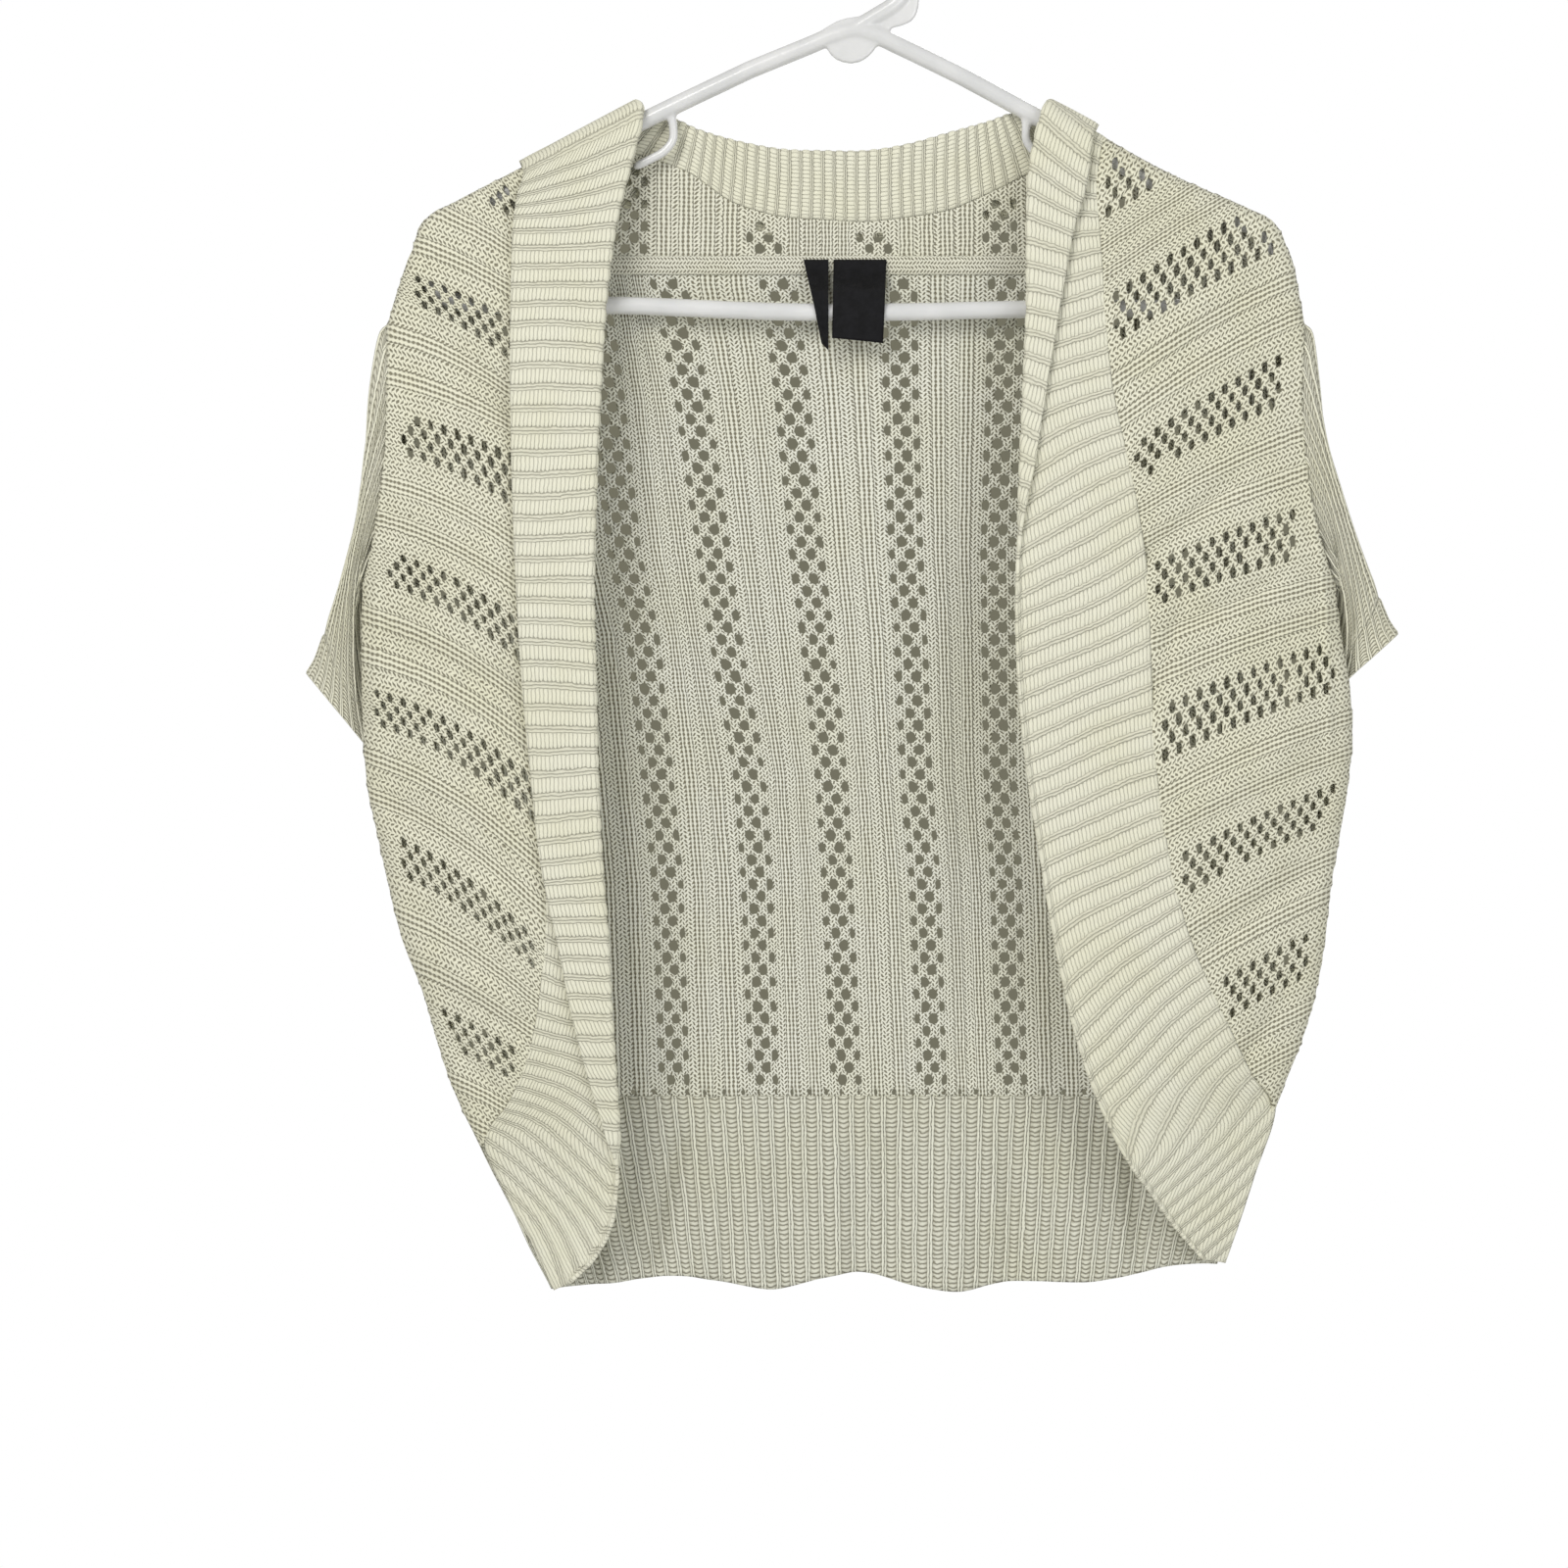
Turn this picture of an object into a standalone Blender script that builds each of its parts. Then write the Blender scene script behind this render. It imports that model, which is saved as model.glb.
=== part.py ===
"""Short-sleeved open-front knitted cardigan on a moulded tube hanger.

Metres, +Z up, the front of the garment faces -Y. The origin is the inside top of the
hanger's hook, where a rail carries it. Tables are in millimetres.

The cloth is drawn as one flattened hull: an outline seen from the front (the hanger's arms,
then the two sides), rolled over the arms and round the sides with ROLL, and filled out to a
front depth and a back depth by height. Every panel is a wall on that hull between its own
seam lines. The ribbed band is a folded ribbon that runs up the left front, round the back
of the neck and down the right front.
"""
import math

import bpy
import numpy as np

for old in list(bpy.data.objects):
    bpy.data.objects.remove(old, do_unlink=True)

# ----------------------------------------------------------------------------- named sizes (mm)
TUBE_R = 4.3          # hanger tube
STRAP_HOOK_R = 2.2
ROLL = 6.5            # radius of the cloth's middle over an arm and round a side
LACE_T = 2.0          # lace knit wall
RIB_T = 2.5           # ribbed wall
LABEL_T = 1.0
GAP = 0.4             # between two pieces at a seam
FOLD_R = (RIB_T + 0.8) / 2
LAPEL_LIFT = 3.2      # lapel's free edge, above the lace under it
NECK_SEAM_Z = -188.0
HEM_SEAM_Z = -588.0
ARMHOLE_TOP_Z = -215.0
ARMHOLE_FOOT_Z = -345.0
ARMHOLE_IN_FRONT = 10.0
ARMHOLE_IN_BACK = 18.0
CUFF_FROM = 0.86      # share of the sleeve's length where the cuff starts
FRONT_FILL = 75.0     # how far in from the outline the hull reaches its full depth
BACK_FILL = 80.0

# arm centre line of the hanger, neck to shoulder: x, z
ARM_LEFT = [(-2, -75), (-50, -95), (-98, -118), (-128, -133), (-160, -150), (-189, -165), (-201, -172)]
ARM_RIGHT = [(2, -74), (51, -98), (88, -118), (112, -131), (131, -142), (150, -152), (170, -161), (186, -168),
             (197, -174)]

# outline of the body below the shoulders: z, left x, right x
SIDES = [
    (-176, -208.5, 205), (-185, -213, 209), (-199, -218, 212), (-216, -223, 215), (-232, -227, 218), (-253, -230, 220),
    (-277, -232, 223), (-301, -234, 225), (-325, -235, 228), (-367, -236, 233), (-391, -236, 237), (-414, -235, 238),
    (-439, -233, 236), (-463, -228, 232), (-486, -223, 228), (-513, -216, 225), (-536, -207, 221), (-563, -199, 213),
    (-586, -191, 204), (-607, -181, 197), (-625, -172, 192), (-642, -163, 187), (-657, -156, 181), (-672, -148, 176),
    (-690, -139, 169),
]

# depth of the hull at mid panel: z, front, back
DEPTH = [
    (-100, 8, 8), (-165, 12, 9.5), (-203, 15, 11), (-250, 19, 13), (-300, 22, 15), (-350, 25, 17), (-430, 27, 19),
    (-510, 27, 20), (-560, 25, 20), (-600, 21, 19), (-640, 15, 18), (-690, 9, 16),
]

# the ribbed band's seam, fold and free edge on the left front, foot to shoulder: xs, zs, xf, zf, xe, ze
BAND_LEFT = [
    (-144, -680, -136, -676, -136, -676), (-152, -665, -126, -664, -126, -664), (-161, -647, -118, -648, -118, -648),
    (-170, -628, -115, -628, -116, -628), (-177, -607, -114, -604, -119, -604), (-165, -589, -115, -580, -126, -580),
    (-154, -560, -117, -550, -134, -550), (-148, -517, -119, -513, -141, -514), (-147, -475, -122, -475, -149, -477),
    (-149, -433, -124, -433, -154, -433), (-150, -391, -125, -391, -158, -391), (-151, -344, -126, -344, -161, -344),
    (-152, -297, -125, -297, -163, -297), (-151, -250, -123, -250, -164, -250), (-148, -203, -120, -203, -164, -203),
    (-141, -165, -115, -167, -163, -170), (-134, -141, -108, -139, -161, -156),
]
# where it crosses the left arm, as x on the arm: seam, fold, free edge
CROSS_LEFT = (-126, -101, -156)
# round the back neck, left to right
COLLAR = [
    (-104, -135, -91, -118, -135, -152), (-79, -144, -75, -125, -104, -162), (-60, -157, -58, -130, -81, -168),
    (-38, -164, -37, -134, -53, -172), (-16, -166, -16, -135, -16, -174), (5, -167, 5, -135, 8, -174),
    (25, -165, 25, -132, 37, -173), (47, -161, 47, -126, 63, -168), (70, -151, 65, -121, 84, -158),
    (95, -139, 80, -116, 102, -143),
]
CROSS_RIGHT = (117, 90, 112)
# down the right front, shoulder to foot
BAND_RIGHT = [
    (116, -150, 86, -139, 111, -151), (117, -172, 84, -167, 105, -171), (119, -203, 84, -203, 99, -203),
    (123, -250, 82, -250, 91, -250), (132, -292, 80, -297, 84, -297), (139, -339, 79, -344, 80, -344),
    (141, -391, 80, -386, 80, -386), (144, -438, 84, -430, 84, -430), (151, -480, 91, -475, 91, -475),
    (161, -516, 100, -525, 100, -525), (175, -546, 109, -562, 109, -562), (188, -573, 120, -592, 120, -592),
    (199, -592, 132, -616, 132, -616), (191, -625, 144, -633, 144, -633), (182, -650, 155, -649, 155, -649),
    (176, -667, 168, -665, 168, -665),
]

# rows of the two lace fronts below the shoulder: height at the band's seam, height at the side
LEFT_ROWS = [
    (-141, -184), (-153, -194), (-167, -204), (-185, -215), (-205, -232), (-227, -250), (-249, -268), (-272, -287),
    (-295, -306), (-318, -325), (-342, -345), (-372, -374), (-403, -404), (-433, -434), (-463, -463), (-492, -493),
    (-520, -522), (-545, -548), (-568, -570), (-589, -588), (-605, -602),
]
RIGHT_ROWS = [
    (-150, -187), (-158, -195), (-170, -204), (-187, -215), (-207, -232), (-228, -250), (-250, -268), (-272, -287),
    (-294, -306), (-317, -325), (-340, -345), (-370, -374), (-400, -404), (-430, -434), (-460, -463), (-488, -493),
    (-514, -520), (-538, -543), (-558, -562), (-572, -574), (-582, -583),
]
BACK_ROWS = [-188.4, -202, -215, -232, -250, -268, -287, -306, -325, -345, -374, -404, -434, -463, -493, -522, -555, -587.6]

# soft upright folds of the back's hem: x, half width, depth towards the front, length up the hem
HEM_FOLDS = [(-112, 22, 3.0, 70), (-45, 27, 5.0, 85), (44, 28, 5.5, 85), (104, 26, 3.5, 75)]
# foot of the back's hem: x, z
HEM_FOOT = [(-160, -681), (-122, -678), (-80, -675), (-60, -678), (-38, -681), (-16, -676), (0, -673), (32, -680), (50, -682),
            (70, -678), (118, -677), (135, -674), (150, -670), (180, -668)]

# sleeves: the cuff's open end as outer corner and inner corner, its half thickness, half the gap
# at the cuff's seam as a share of the sleeve, how far it stands off the armhole, and the pull of the sleeve's outer, front, inner
# and back lines on the way there: x, y, z
CUFF_END = {
    "left": dict(outer=(-263, 9, -385), inner=(-221, 23, -436), half=10.0, seam=0.018, off=2.0,
                 pull=[(-232, 2, -312), (-250, -8, -345), (-250, 11, -372), (-234, 27, -345)]),
    "right": dict(outer=(261, 9, -366), inner=(213, 23, -409), half=10.0, seam=0.028, off=2.3,
                  pull=[(229, 2, -297), (243, -8, -335), (243, 11, -362), (225, 27, -352)]),
}

# hook of the hanger, from the neck up, round and over: x, z
HOOK = [(1, -75), (11, -69), (20, -63), (26, -54), (29, -43), (29, -31), (25.5, -16), (17, -3), (3, 4.3), (-11, 0.5), (-20, -11),
        (-21.5, -24), (-20, -31)]
END_LEFT = [(-204.5, -181), (-204.8, -190), (-201.5, -199), (-194.5, -205), (-185, -207.5)]
END_RIGHT = [(200.5, -183), (201.2, -192), (198, -201), (190.5, -207), (181, -209)]
BAR = [(-118, -208), (-25, -211.3), (16, -211.3), (79, -210)]
STRAP_LEFT = [(-88.5, -114), (-87.0, -122), (-87.2, -129), (-91, -134), (-98, -138), (-106, -142)]
STRAP_RIGHT = [(81.5, -115), (82.3, -122), (82.5, -129), (86, -134), (92, -138), (98, -142)]

# hanging labels in the neck seam: left x and right x at the top, left x and right x at the foot, foot z
LABEL_WIDE = dict(top=(-10.0, 15.5), foot=(-10.8, 13.6), z=(-224.0, -226.5))
LABEL_NARROW = dict(top=(-24.4, -12.4), foot=(-15.6, -12.6), z=(-226.5, -230.0))


# ----------------------------------------------------------------------------- curves
def hermite(knots, values, t):
    """Smooth curve through values at knots, evaluated at t."""
    knots, values, t = np.asarray(knots, float), np.asarray(values, float), np.atleast_1d(np.asarray(t, float))
    slope = np.diff(values, axis=0) / np.diff(knots)[:, None]
    h = np.diff(knots)
    tan = np.empty_like(values)
    tan[0], tan[-1] = slope[0], slope[-1]
    w = (h[1:] / (h[:-1] + h[1:]))[:, None]
    tan[1:-1] = slope[:-1] * w + slope[1:] * (1 - w)
    i = np.clip(np.searchsorted(knots, t, side="right") - 1, 0, len(h) - 1)
    s = ((t - knots[i]) / h[i])[:, None]
    hh = h[i][:, None]
    return (values[i] * (1 + 2 * s) * (1 - s) ** 2 + tan[i] * hh * s * (1 - s) ** 2
            + values[i + 1] * s * s * (3 - 2 * s) + tan[i + 1] * hh * s * s * (s - 1))


def chord_knots(points):
    return np.concatenate([[0.0], np.cumsum(np.linalg.norm(np.diff(np.asarray(points, float), axis=0), axis=1))])


def smooth_line(points, step):
    """Points about step apart on a smooth curve through the given ones."""
    k = chord_knots(points)
    return hermite(k, points, np.linspace(0, k[-1], max(2, int(round(k[-1] / step)) + 1)))


def unit(v):
    return v / np.maximum(np.linalg.norm(v, axis=-1, keepdims=True), 1e-12)


# ----------------------------------------------------------------------------- the hull
def arm_frame(arm, x):
    """Centre and upward normal of an arm at x, in the XZ plane."""
    arm = np.asarray(arm, float)
    order = np.argsort(arm[:, 0])
    z = hermite(arm[order, 0], arm[order, 1:2], np.clip(x, arm[:, 0].min(), arm[:, 0].max()))[:, 0]
    eps = 2.0
    za = hermite(arm[order, 0], arm[order, 1:2], np.clip(x - eps, arm[:, 0].min(), arm[:, 0].max()))[:, 0]
    zb = hermite(arm[order, 0], arm[order, 1:2], np.clip(x + eps, arm[:, 0].min(), arm[:, 0].max()))[:, 0]
    slope = (zb - za) / (2 * eps)
    n = np.stack([-slope, np.ones_like(slope)], 1)
    return np.stack([np.atleast_1d(x) * 1.0, z], 1), unit(n)


SIDES = np.array(SIDES, float)
DEPTH = np.array(DEPTH, float)
SIDE_Z = np.arange(-690.0, -182.0 + 0.1, 4.0)


def side_x(z, side):
    """x of the outline at height z."""
    col = 1 if side == "left" else 2
    return hermite(SIDES[::-1, 0], SIDES[::-1, col:col + 1], np.clip(z, -690, -176))[:, 0]


def outline():
    """The hull's outline seen from the front, from the left foot up, over both arms and down."""
    left = np.stack([side_x(SIDE_Z, "left"), SIDE_Z], 1)
    right = np.stack([side_x(SIDE_Z, "right"), SIDE_Z], 1)[::-1]
    over = []
    for arm, end, sgn in ((ARM_LEFT, END_LEFT, 1), (ARM_RIGHT, END_RIGHT, -1)):
        line = smooth_line(arm + end[:3], 3.0)
        t = unit(np.gradient(line, axis=0))
        off = line + np.stack([t[:, 1], -t[:, 0]], 1) * ROLL * sgn
        over.append(off[off[:, 1] > SIDE_Z[-1] + 1.5])
    return np.concatenate([left, over[0][::-1], over[1], right])


OUTLINE = outline()


OUTLINE_S = chord_knots(OUTLINE)


def outline_at(s):
    """Point and inward normal of the outline at length s along it."""
    p = np.stack([np.interp(s, OUTLINE_S, OUTLINE[:, k]) for k in (0, 1)], -1)
    a = np.stack([np.interp(s - 1.5, OUTLINE_S, OUTLINE[:, k]) for k in (0, 1)], -1)
    b = np.stack([np.interp(s + 1.5, OUTLINE_S, OUTLINE[:, k]) for k in (0, 1)], -1)
    t = unit(b - a)
    return p, np.stack([t[..., 1], -t[..., 0]], -1)


def outline_s(x, z):
    return OUTLINE_S[np.argmin(((OUTLINE - np.array([x, z])) ** 2).sum(1))]


def outline_s_at_height(z, side):
    """Length along the outline where it passes height z on one side."""
    half = OUTLINE[:, 0] < 0 if side == "left" else OUTLINE[:, 0] > 0
    zs, ss = OUTLINE[half, 1], OUTLINE_S[half]
    near = zs < -170
    order = np.argsort(zs[near])
    return np.interp(z, zs[near][order], ss[near][order])


def inset(x, z):
    """Distance in from the outline."""
    p = np.stack([np.ravel(x), np.ravel(z)], 1)
    a, b = OUTLINE[:-1], OUTLINE[1:]
    ab = b - a
    t = np.einsum("pmk,mk->pm", p[:, None] - a[None], ab) / np.maximum((ab ** 2).sum(1), 1e-9)
    near = a[None] + np.clip(t, 0, 1)[..., None] * ab[None]
    return np.sqrt(((p[:, None] - near) ** 2).sum(2).min(1)).reshape(np.shape(x))


def hull_y(x, z, side, d=None):
    """Depth of the hull's front (side -1) or back (side +1) at x, z."""
    x, z = np.atleast_1d(np.asarray(x, float)), np.atleast_1d(np.asarray(z, float))
    d = inset(x, z) if d is None else d
    full = np.interp(-z, -DEPTH[:, 0], DEPTH[:, 1 if side < 0 else 2])
    roll = np.sqrt(np.maximum(ROLL ** 2 - (ROLL - np.minimum(d, ROLL)) ** 2, 0))
    fill = 1 - (1 - np.clip(d / (FRONT_FILL if side < 0 else BACK_FILL), 0, 1)) ** 2
    return side * (roll + np.maximum(full - ROLL, 0) * fill)


def hull(x, z, side):
    x, z = np.atleast_1d(np.asarray(x, float)), np.atleast_1d(np.asarray(z, float))
    return np.stack([x, hull_y(x, z, side), z], -1)


def armhole_in(z, deep):
    s = np.clip((ARMHOLE_TOP_Z - z) / (ARMHOLE_TOP_Z - ARMHOLE_FOOT_Z), 0, 1)
    return deep * np.sin(np.pi * s) ** 0.6


# ----------------------------------------------------------------------------- the band
def over_arm(arm, xs, radii, angle):
    """Seam, fold and edge of the band on an arm; angle 0 is on top, -90 the front, 90 the back."""
    out = []
    for x, r in zip(xs, radii):
        c, n = arm_frame(arm, np.array([float(x)]))
        s, k = math.sin(math.radians(angle)), math.cos(math.radians(angle))
        out.append([c[0, 0] + n[0, 0] * r * k, s * r, c[0, 1] + n[0, 1] * r * k])
    return out


def band_stations():
    rows = []
    for xs, zs, xf, zf, xe, ze in BAND_LEFT:
        rows.append(front_station(xs, zs, xf, zf, xe, ze, "left"))
    radii = (ROLL, ROLL + 0.6, ROLL + 0.5 * (LACE_T + RIB_T) + 1.0)
    left_cross = [len(rows) + i for i in range(3)]
    for angle in (-60, 0, 60):
        rows.append(over_arm(ARM_LEFT, CROSS_LEFT, radii, angle))
    for xs, zs, xf, zf, xe, ze in COLLAR:
        s, f, e = hull([xs, xf, xe], [zs, zf, ze], 1)
        f = f + np.array([0, 1.0, 0])
        e = e + np.array([0, 2 * FOLD_R + 1.0, 0])
        rows.append([s, f, e])
    right_cross = [len(rows) + i for i in range(3)]
    for angle in (60, 0, -60):
        rows.append(over_arm(ARM_RIGHT, CROSS_RIGHT, (ROLL, ROLL + 0.6, ROLL + 2 * FOLD_R + 0.4), angle))
    for xs, zs, xf, zf, xe, ze in BAND_RIGHT:
        rows.append(front_station(xs, zs, xf, zf, xe, ze, "right"))
    return np.array(rows, float), left_cross, right_cross


def front_station(xs, zs, xf, zf, xe, ze, side):
    out = side_x(np.array([zs]), side)[0]
    sgn = 1 if side == "left" else -1
    if (xs - out) * sgn < 3.0:
        xs = out + sgn * 0.35
    s, f, e = hull([xs, xf, xe], [zs, zf, ze], -1)
    f = f - np.array([0, 1.5, 0])
    e = e - np.array([0, 1.5 + LAPEL_LIFT, 0])
    return [s, f, e]


STATIONS, LEFT_CROSS, RIGHT_CROSS = band_stations()
KNOTS = chord_knots(STATIONS.reshape(len(STATIONS), 9) / math.sqrt(3))


def band_lines(t):
    """Seam, fold and free edge of the band at t along it."""
    v = hermite(KNOTS, STATIONS.reshape(len(STATIONS), 9), t)
    return v[:, 0:3], v[:, 3:6], v[:, 6:9]


def band_section(t, n_leg, n_bend, n_lapel, start=0.0):
    """Points across the band at each t: out along its inner leg, round the fold, back to the free edge."""
    t = np.atleast_1d(np.asarray(t, float))
    s, f, e = band_lines(t)
    s2, f2, _ = band_lines(np.minimum(t + 0.5, KNOTS[-1]))
    s1, f1, _ = band_lines(np.maximum(t - 0.5, 0))
    along = unit((s2 + f2) - (s1 + f1))
    leg = f - s
    length = np.linalg.norm(leg, axis=1)
    u = unit(leg)
    out = -unit(np.cross(along, u))
    lapel = np.linalg.norm(e - f, axis=1)
    fold = np.clip((lapel - 1.5) / 6.0, 0, 1)
    fold = fold * fold * (3 - 2 * fold)
    spare = 4.0 * (1 - fold)
    rows = []
    for i in range(len(t)):
        theta = math.pi * fold[i]
        bend_len = theta * FOLD_R
        centre = f[i] + out[i] * FOLD_R

        def bend(w):
            a = w / FOLD_R
            return centre + FOLD_R * (math.sin(a) * u[i] - math.cos(a) * out[i])
        end = bend(bend_len)
        ahead = math.cos(theta) * u[i] + math.sin(theta) * out[i]
        tip = e[i] * fold[i] + (end + ahead * max(lapel[i], 1.0)) * (1 - fold[i])
        lapel_len = np.linalg.norm(tip - end)
        cuts = [start, length[i] - spare[i], length[i] - spare[i] * 0.5 + bend_len, length[i] + bend_len + lapel_len]
        ws = np.concatenate([np.linspace(cuts[0], cuts[1], n_leg + 1), np.linspace(cuts[1], cuts[2], n_bend + 1)[1:],
                             np.linspace(cuts[2], cuts[3], n_lapel + 1)[1:]])
        line = []
        for w in ws:
            if w <= length[i]:
                line.append(s[i] + u[i] * w)
            elif w <= length[i] + bend_len:
                line.append(bend(w - length[i]))
            else:
                line.append(end + (tip - end) * ((w - length[i] - bend_len) / max(lapel_len, 1e-9)))
        rows.append(line)
    return np.array(rows)


def knots_where(zs, lo, hi):
    """Places along the band, between stations lo and hi, where its seam is at each height."""
    t = np.linspace(KNOTS[lo], KNOTS[hi], 4000)
    z = band_lines(t)[0][:, 2]
    return np.array([t[np.argmin(np.abs(z - h))] for h in zs])


# ----------------------------------------------------------------------------- making solids
def material(name, rgb, rough):
    m = bpy.data.materials.new(name)
    m.use_nodes = True
    b = m.node_tree.nodes["Principled BSDF"]
    b.inputs["Base Color"].default_value = (*rgb, 1)
    b.inputs["Roughness"].default_value = rough
    b.inputs["Metallic"].default_value = 0.0
    m.diffuse_color = (*rgb, 1)
    return m


LACE = material("lace_knit", (0.80, 0.78, 0.64), 0.95)
RIB = material("rib_knit", (0.83, 0.80, 0.66), 0.95)
PLASTIC = material("white_plastic", (0.86, 0.87, 0.88), 0.3)
LABEL = material("black_label", (0.01, 0.01, 0.012), 0.7)


def cloth(name, grid, thick, mat, ring=False):
    """A wall of the given thickness on a grid of points (rows, columns, xyz), in mm."""
    grid = np.asarray(grid, float) * 0.001
    r, c = grid.shape[:2]
    faces = []
    for i in range(r - 1):
        for j in range(c if ring else c - 1):
            k = (j + 1) % c
            faces.append((i * c + j, i * c + k, (i + 1) * c + k, (i + 1) * c + j))
    me = bpy.data.meshes.new(name)
    me.from_pydata(grid.reshape(-1, 3).tolist(), [], faces)
    me.materials.append(mat)
    me.shade_smooth()
    ob = bpy.data.objects.new(name, me)
    bpy.context.collection.objects.link(ob)
    mod = ob.modifiers.new("wall", "SOLIDIFY")
    mod.thickness = thick * 0.001
    mod.offset = 0.0
    mod.use_even_offset = False
    mod.use_rim = True
    return ob


def tube(name, line, radius, sides, closed, mat):
    """A round tube along a line in the XZ plane (x, z in mm)."""
    line = np.asarray(line, float)
    n = len(line)
    if closed:
        tan = unit(np.roll(line, -1, 0) - np.roll(line, 1, 0))
    else:
        tan = unit(np.gradient(line, axis=0))
    nor = np.stack([-tan[:, 1], tan[:, 0]], 1)
    verts, faces = [], []
    for i in range(n):
        for j in range(sides):
            a = 2 * math.pi * (j + 0.5) / sides
            verts.append(((line[i, 0] + nor[i, 0] * radius * math.cos(a)) * 0.001, radius * math.sin(a) * 0.001,
                          (line[i, 1] + nor[i, 1] * radius * math.cos(a)) * 0.001))
    for i in range(n if closed else n - 1):
        for j in range(sides):
            k, m = (j + 1) % sides, (i + 1) % n
            faces.append((i * sides + j, m * sides + j, m * sides + k, i * sides + k))
    if not closed:
        faces.append(tuple(range(sides)))
        faces.append(tuple((n - 1) * sides + j for j in reversed(range(sides))))
    me = bpy.data.meshes.new(name)
    me.from_pydata(verts, [], faces)
    me.materials.append(mat)
    me.shade_smooth()
    ob = bpy.data.objects.new(name, me)
    bpy.context.collection.objects.link(ob)
    return ob


def join_to(base, other):
    other.hide_render = True
    other.display_type = "WIRE"
    mod = base.modifiers.new("join_" + other.name, "BOOLEAN")
    mod.operation = "UNION"
    mod.solver = "EXACT"
    mod.object = other


# ----------------------------------------------------------------------------- hanger
def make_hanger():
    loop = list(smooth_line(ARM_LEFT[1:] + END_LEFT, 9.0))
    loop += list(smooth_line([END_LEFT[-1], (-165, -207.6)] + BAR + [(150, -209.5), END_RIGHT[-1]], 14.0)[1:-1])
    loop += list(smooth_line((ARM_RIGHT[1:] + END_RIGHT)[::-1], 9.0))
    loop += [(20, -83), (9, -78), (0, -76), (-9, -78.3), (-22, -83.6)]
    hanger = tube("hanger", loop, TUBE_R, 10, True, PLASTIC)
    hook = tube("guide_hook", smooth_line(HOOK, 6.0), TUBE_R - 0.15, 10, False, PLASTIC)
    join_to(hanger, hook)
    join_to(hanger, tube("guide_strap_left", smooth_line(STRAP_LEFT, 4.0), STRAP_HOOK_R, 8, False, PLASTIC))
    join_to(hanger, tube("guide_strap_right", smooth_line(STRAP_RIGHT, 4.0), STRAP_HOOK_R, 8, False, PLASTIC))
    # the moulded web under the neck
    bpy.ops.mesh.primitive_cylinder_add(vertices=24, radius=0.0095, depth=0.0042, location=(-0.001, 0, -0.0755),
                                        rotation=(math.pi / 2, 0, 0))
    web = bpy.context.object
    web.name = "guide_web"
    join_to(hanger, web)
    return hanger


# ----------------------------------------------------------------------------- lace fronts
TIP = {"left": (-203.0, -166.5), "right": (199.5, -168.5)}


def make_front(name, side, rows, arm, cross, stations):
    """Lace front: rolled rows over the arm, then rows from the side in to the band's seam."""
    sgn = 1 if side == "left" else -1
    lo, hi = stations
    grid = []
    cols = np.array([0, 0.03, 0.06, 0.1, 0.16, 0.29, 0.43, 0.57, 0.71, 0.86, 1.0])
    seam_gap = GAP
    c, n = arm_frame(arm, np.array([cross - sgn * seam_gap]))
    s_end = outline_s(*(c + n * ROLL)[0])
    s_tip = outline_s(*TIP[side])
    for angle, down in ((-6.0, 0.0), (-32.0, 6.0), (-60.0, 12.0)):
        s0 = s_tip - sgn * down
        ss = s0 + (s_end - s0) * cols
        a = np.radians(-6.0 + (angle + 6.0) * np.clip(np.abs(ss - s0) / 11.0, 0, 1))
        p, n = outline_at(ss)
        p = p + n * (ROLL * (1 - np.cos(a)))[:, None]
        grid.append(np.stack([p[:, 0], ROLL * np.sin(a), p[:, 1]], 1))
    ts = knots_where([r[0] for r in rows], lo, hi)
    seam = band_lines(ts)[0]
    for (zs, zq), s in zip(rows, seam):
        x_out = side_x(np.array([zq]), side)[0]
        d0 = max(0.006, armhole_in(zq, ARMHOLE_IN_FRONT) if ARMHOLE_FOOT_Z < zq < ARMHOLE_TOP_Z else 0.006)
        q = np.array([x_out + sgn * d0 * 1.02, zq])
        e = np.array([s[0] - sgn * seam_gap, s[2]])
        width = np.linalg.norm(e - q)
        near = np.array([0, 0.5, 2.0, 5.0]) * min(1.0, width / 25.0) if d0 < 1 else np.array([0, 2.0, 5.0, 9.0])
        w = np.concatenate([near, near[-1] + (width - near[-1]) * np.linspace(0, 1, len(cols) - 3)[1:]])
        p = q[None] + (e - q)[None] * (w / width)[:, None]
        y = hull_y(p[:, 0], p[:, 1], -1)
        if d0 < 1:
            y[0] = -0.75
        grid.append(np.stack([p[:, 0], y, p[:, 1]], 1))
    return cloth(name, grid, LACE_T, LACE), ts


# ----------------------------------------------------------------------------- back
def side_columns(z, side_in, n_mid):
    """x positions across the back at height z, closer together at the rolled sides."""
    xl, xr = side_x(np.array([z]), "left")[0] + side_in[0], side_x(np.array([z]), "right")[0] - side_in[1]
    left = xl + (np.array([0.0, 0.5, 2.0, 5.0]) if side_in[0] < 1 else np.array([0.0, 2.0, 5.0, 9.0]))
    right = xr - (np.array([5.0, 2.0, 0.5, 0.0]) if side_in[1] < 1 else np.array([9.0, 5.0, 2.0, 0.0]))
    return np.concatenate([left, np.linspace(left[-1], right[0], n_mid)[1:-1], right])


def hem_wave(x, z):
    y = np.zeros_like(x)
    for cx, half, deep, up in HEM_FOLDS:
        rise = np.clip((HEM_SEAM_Z - 90 + up - z) / up, 0, 1)
        y -= deep * np.exp(-((x - cx) / half) ** 2) * rise * rise * (3 - 2 * rise)
    return y


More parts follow.
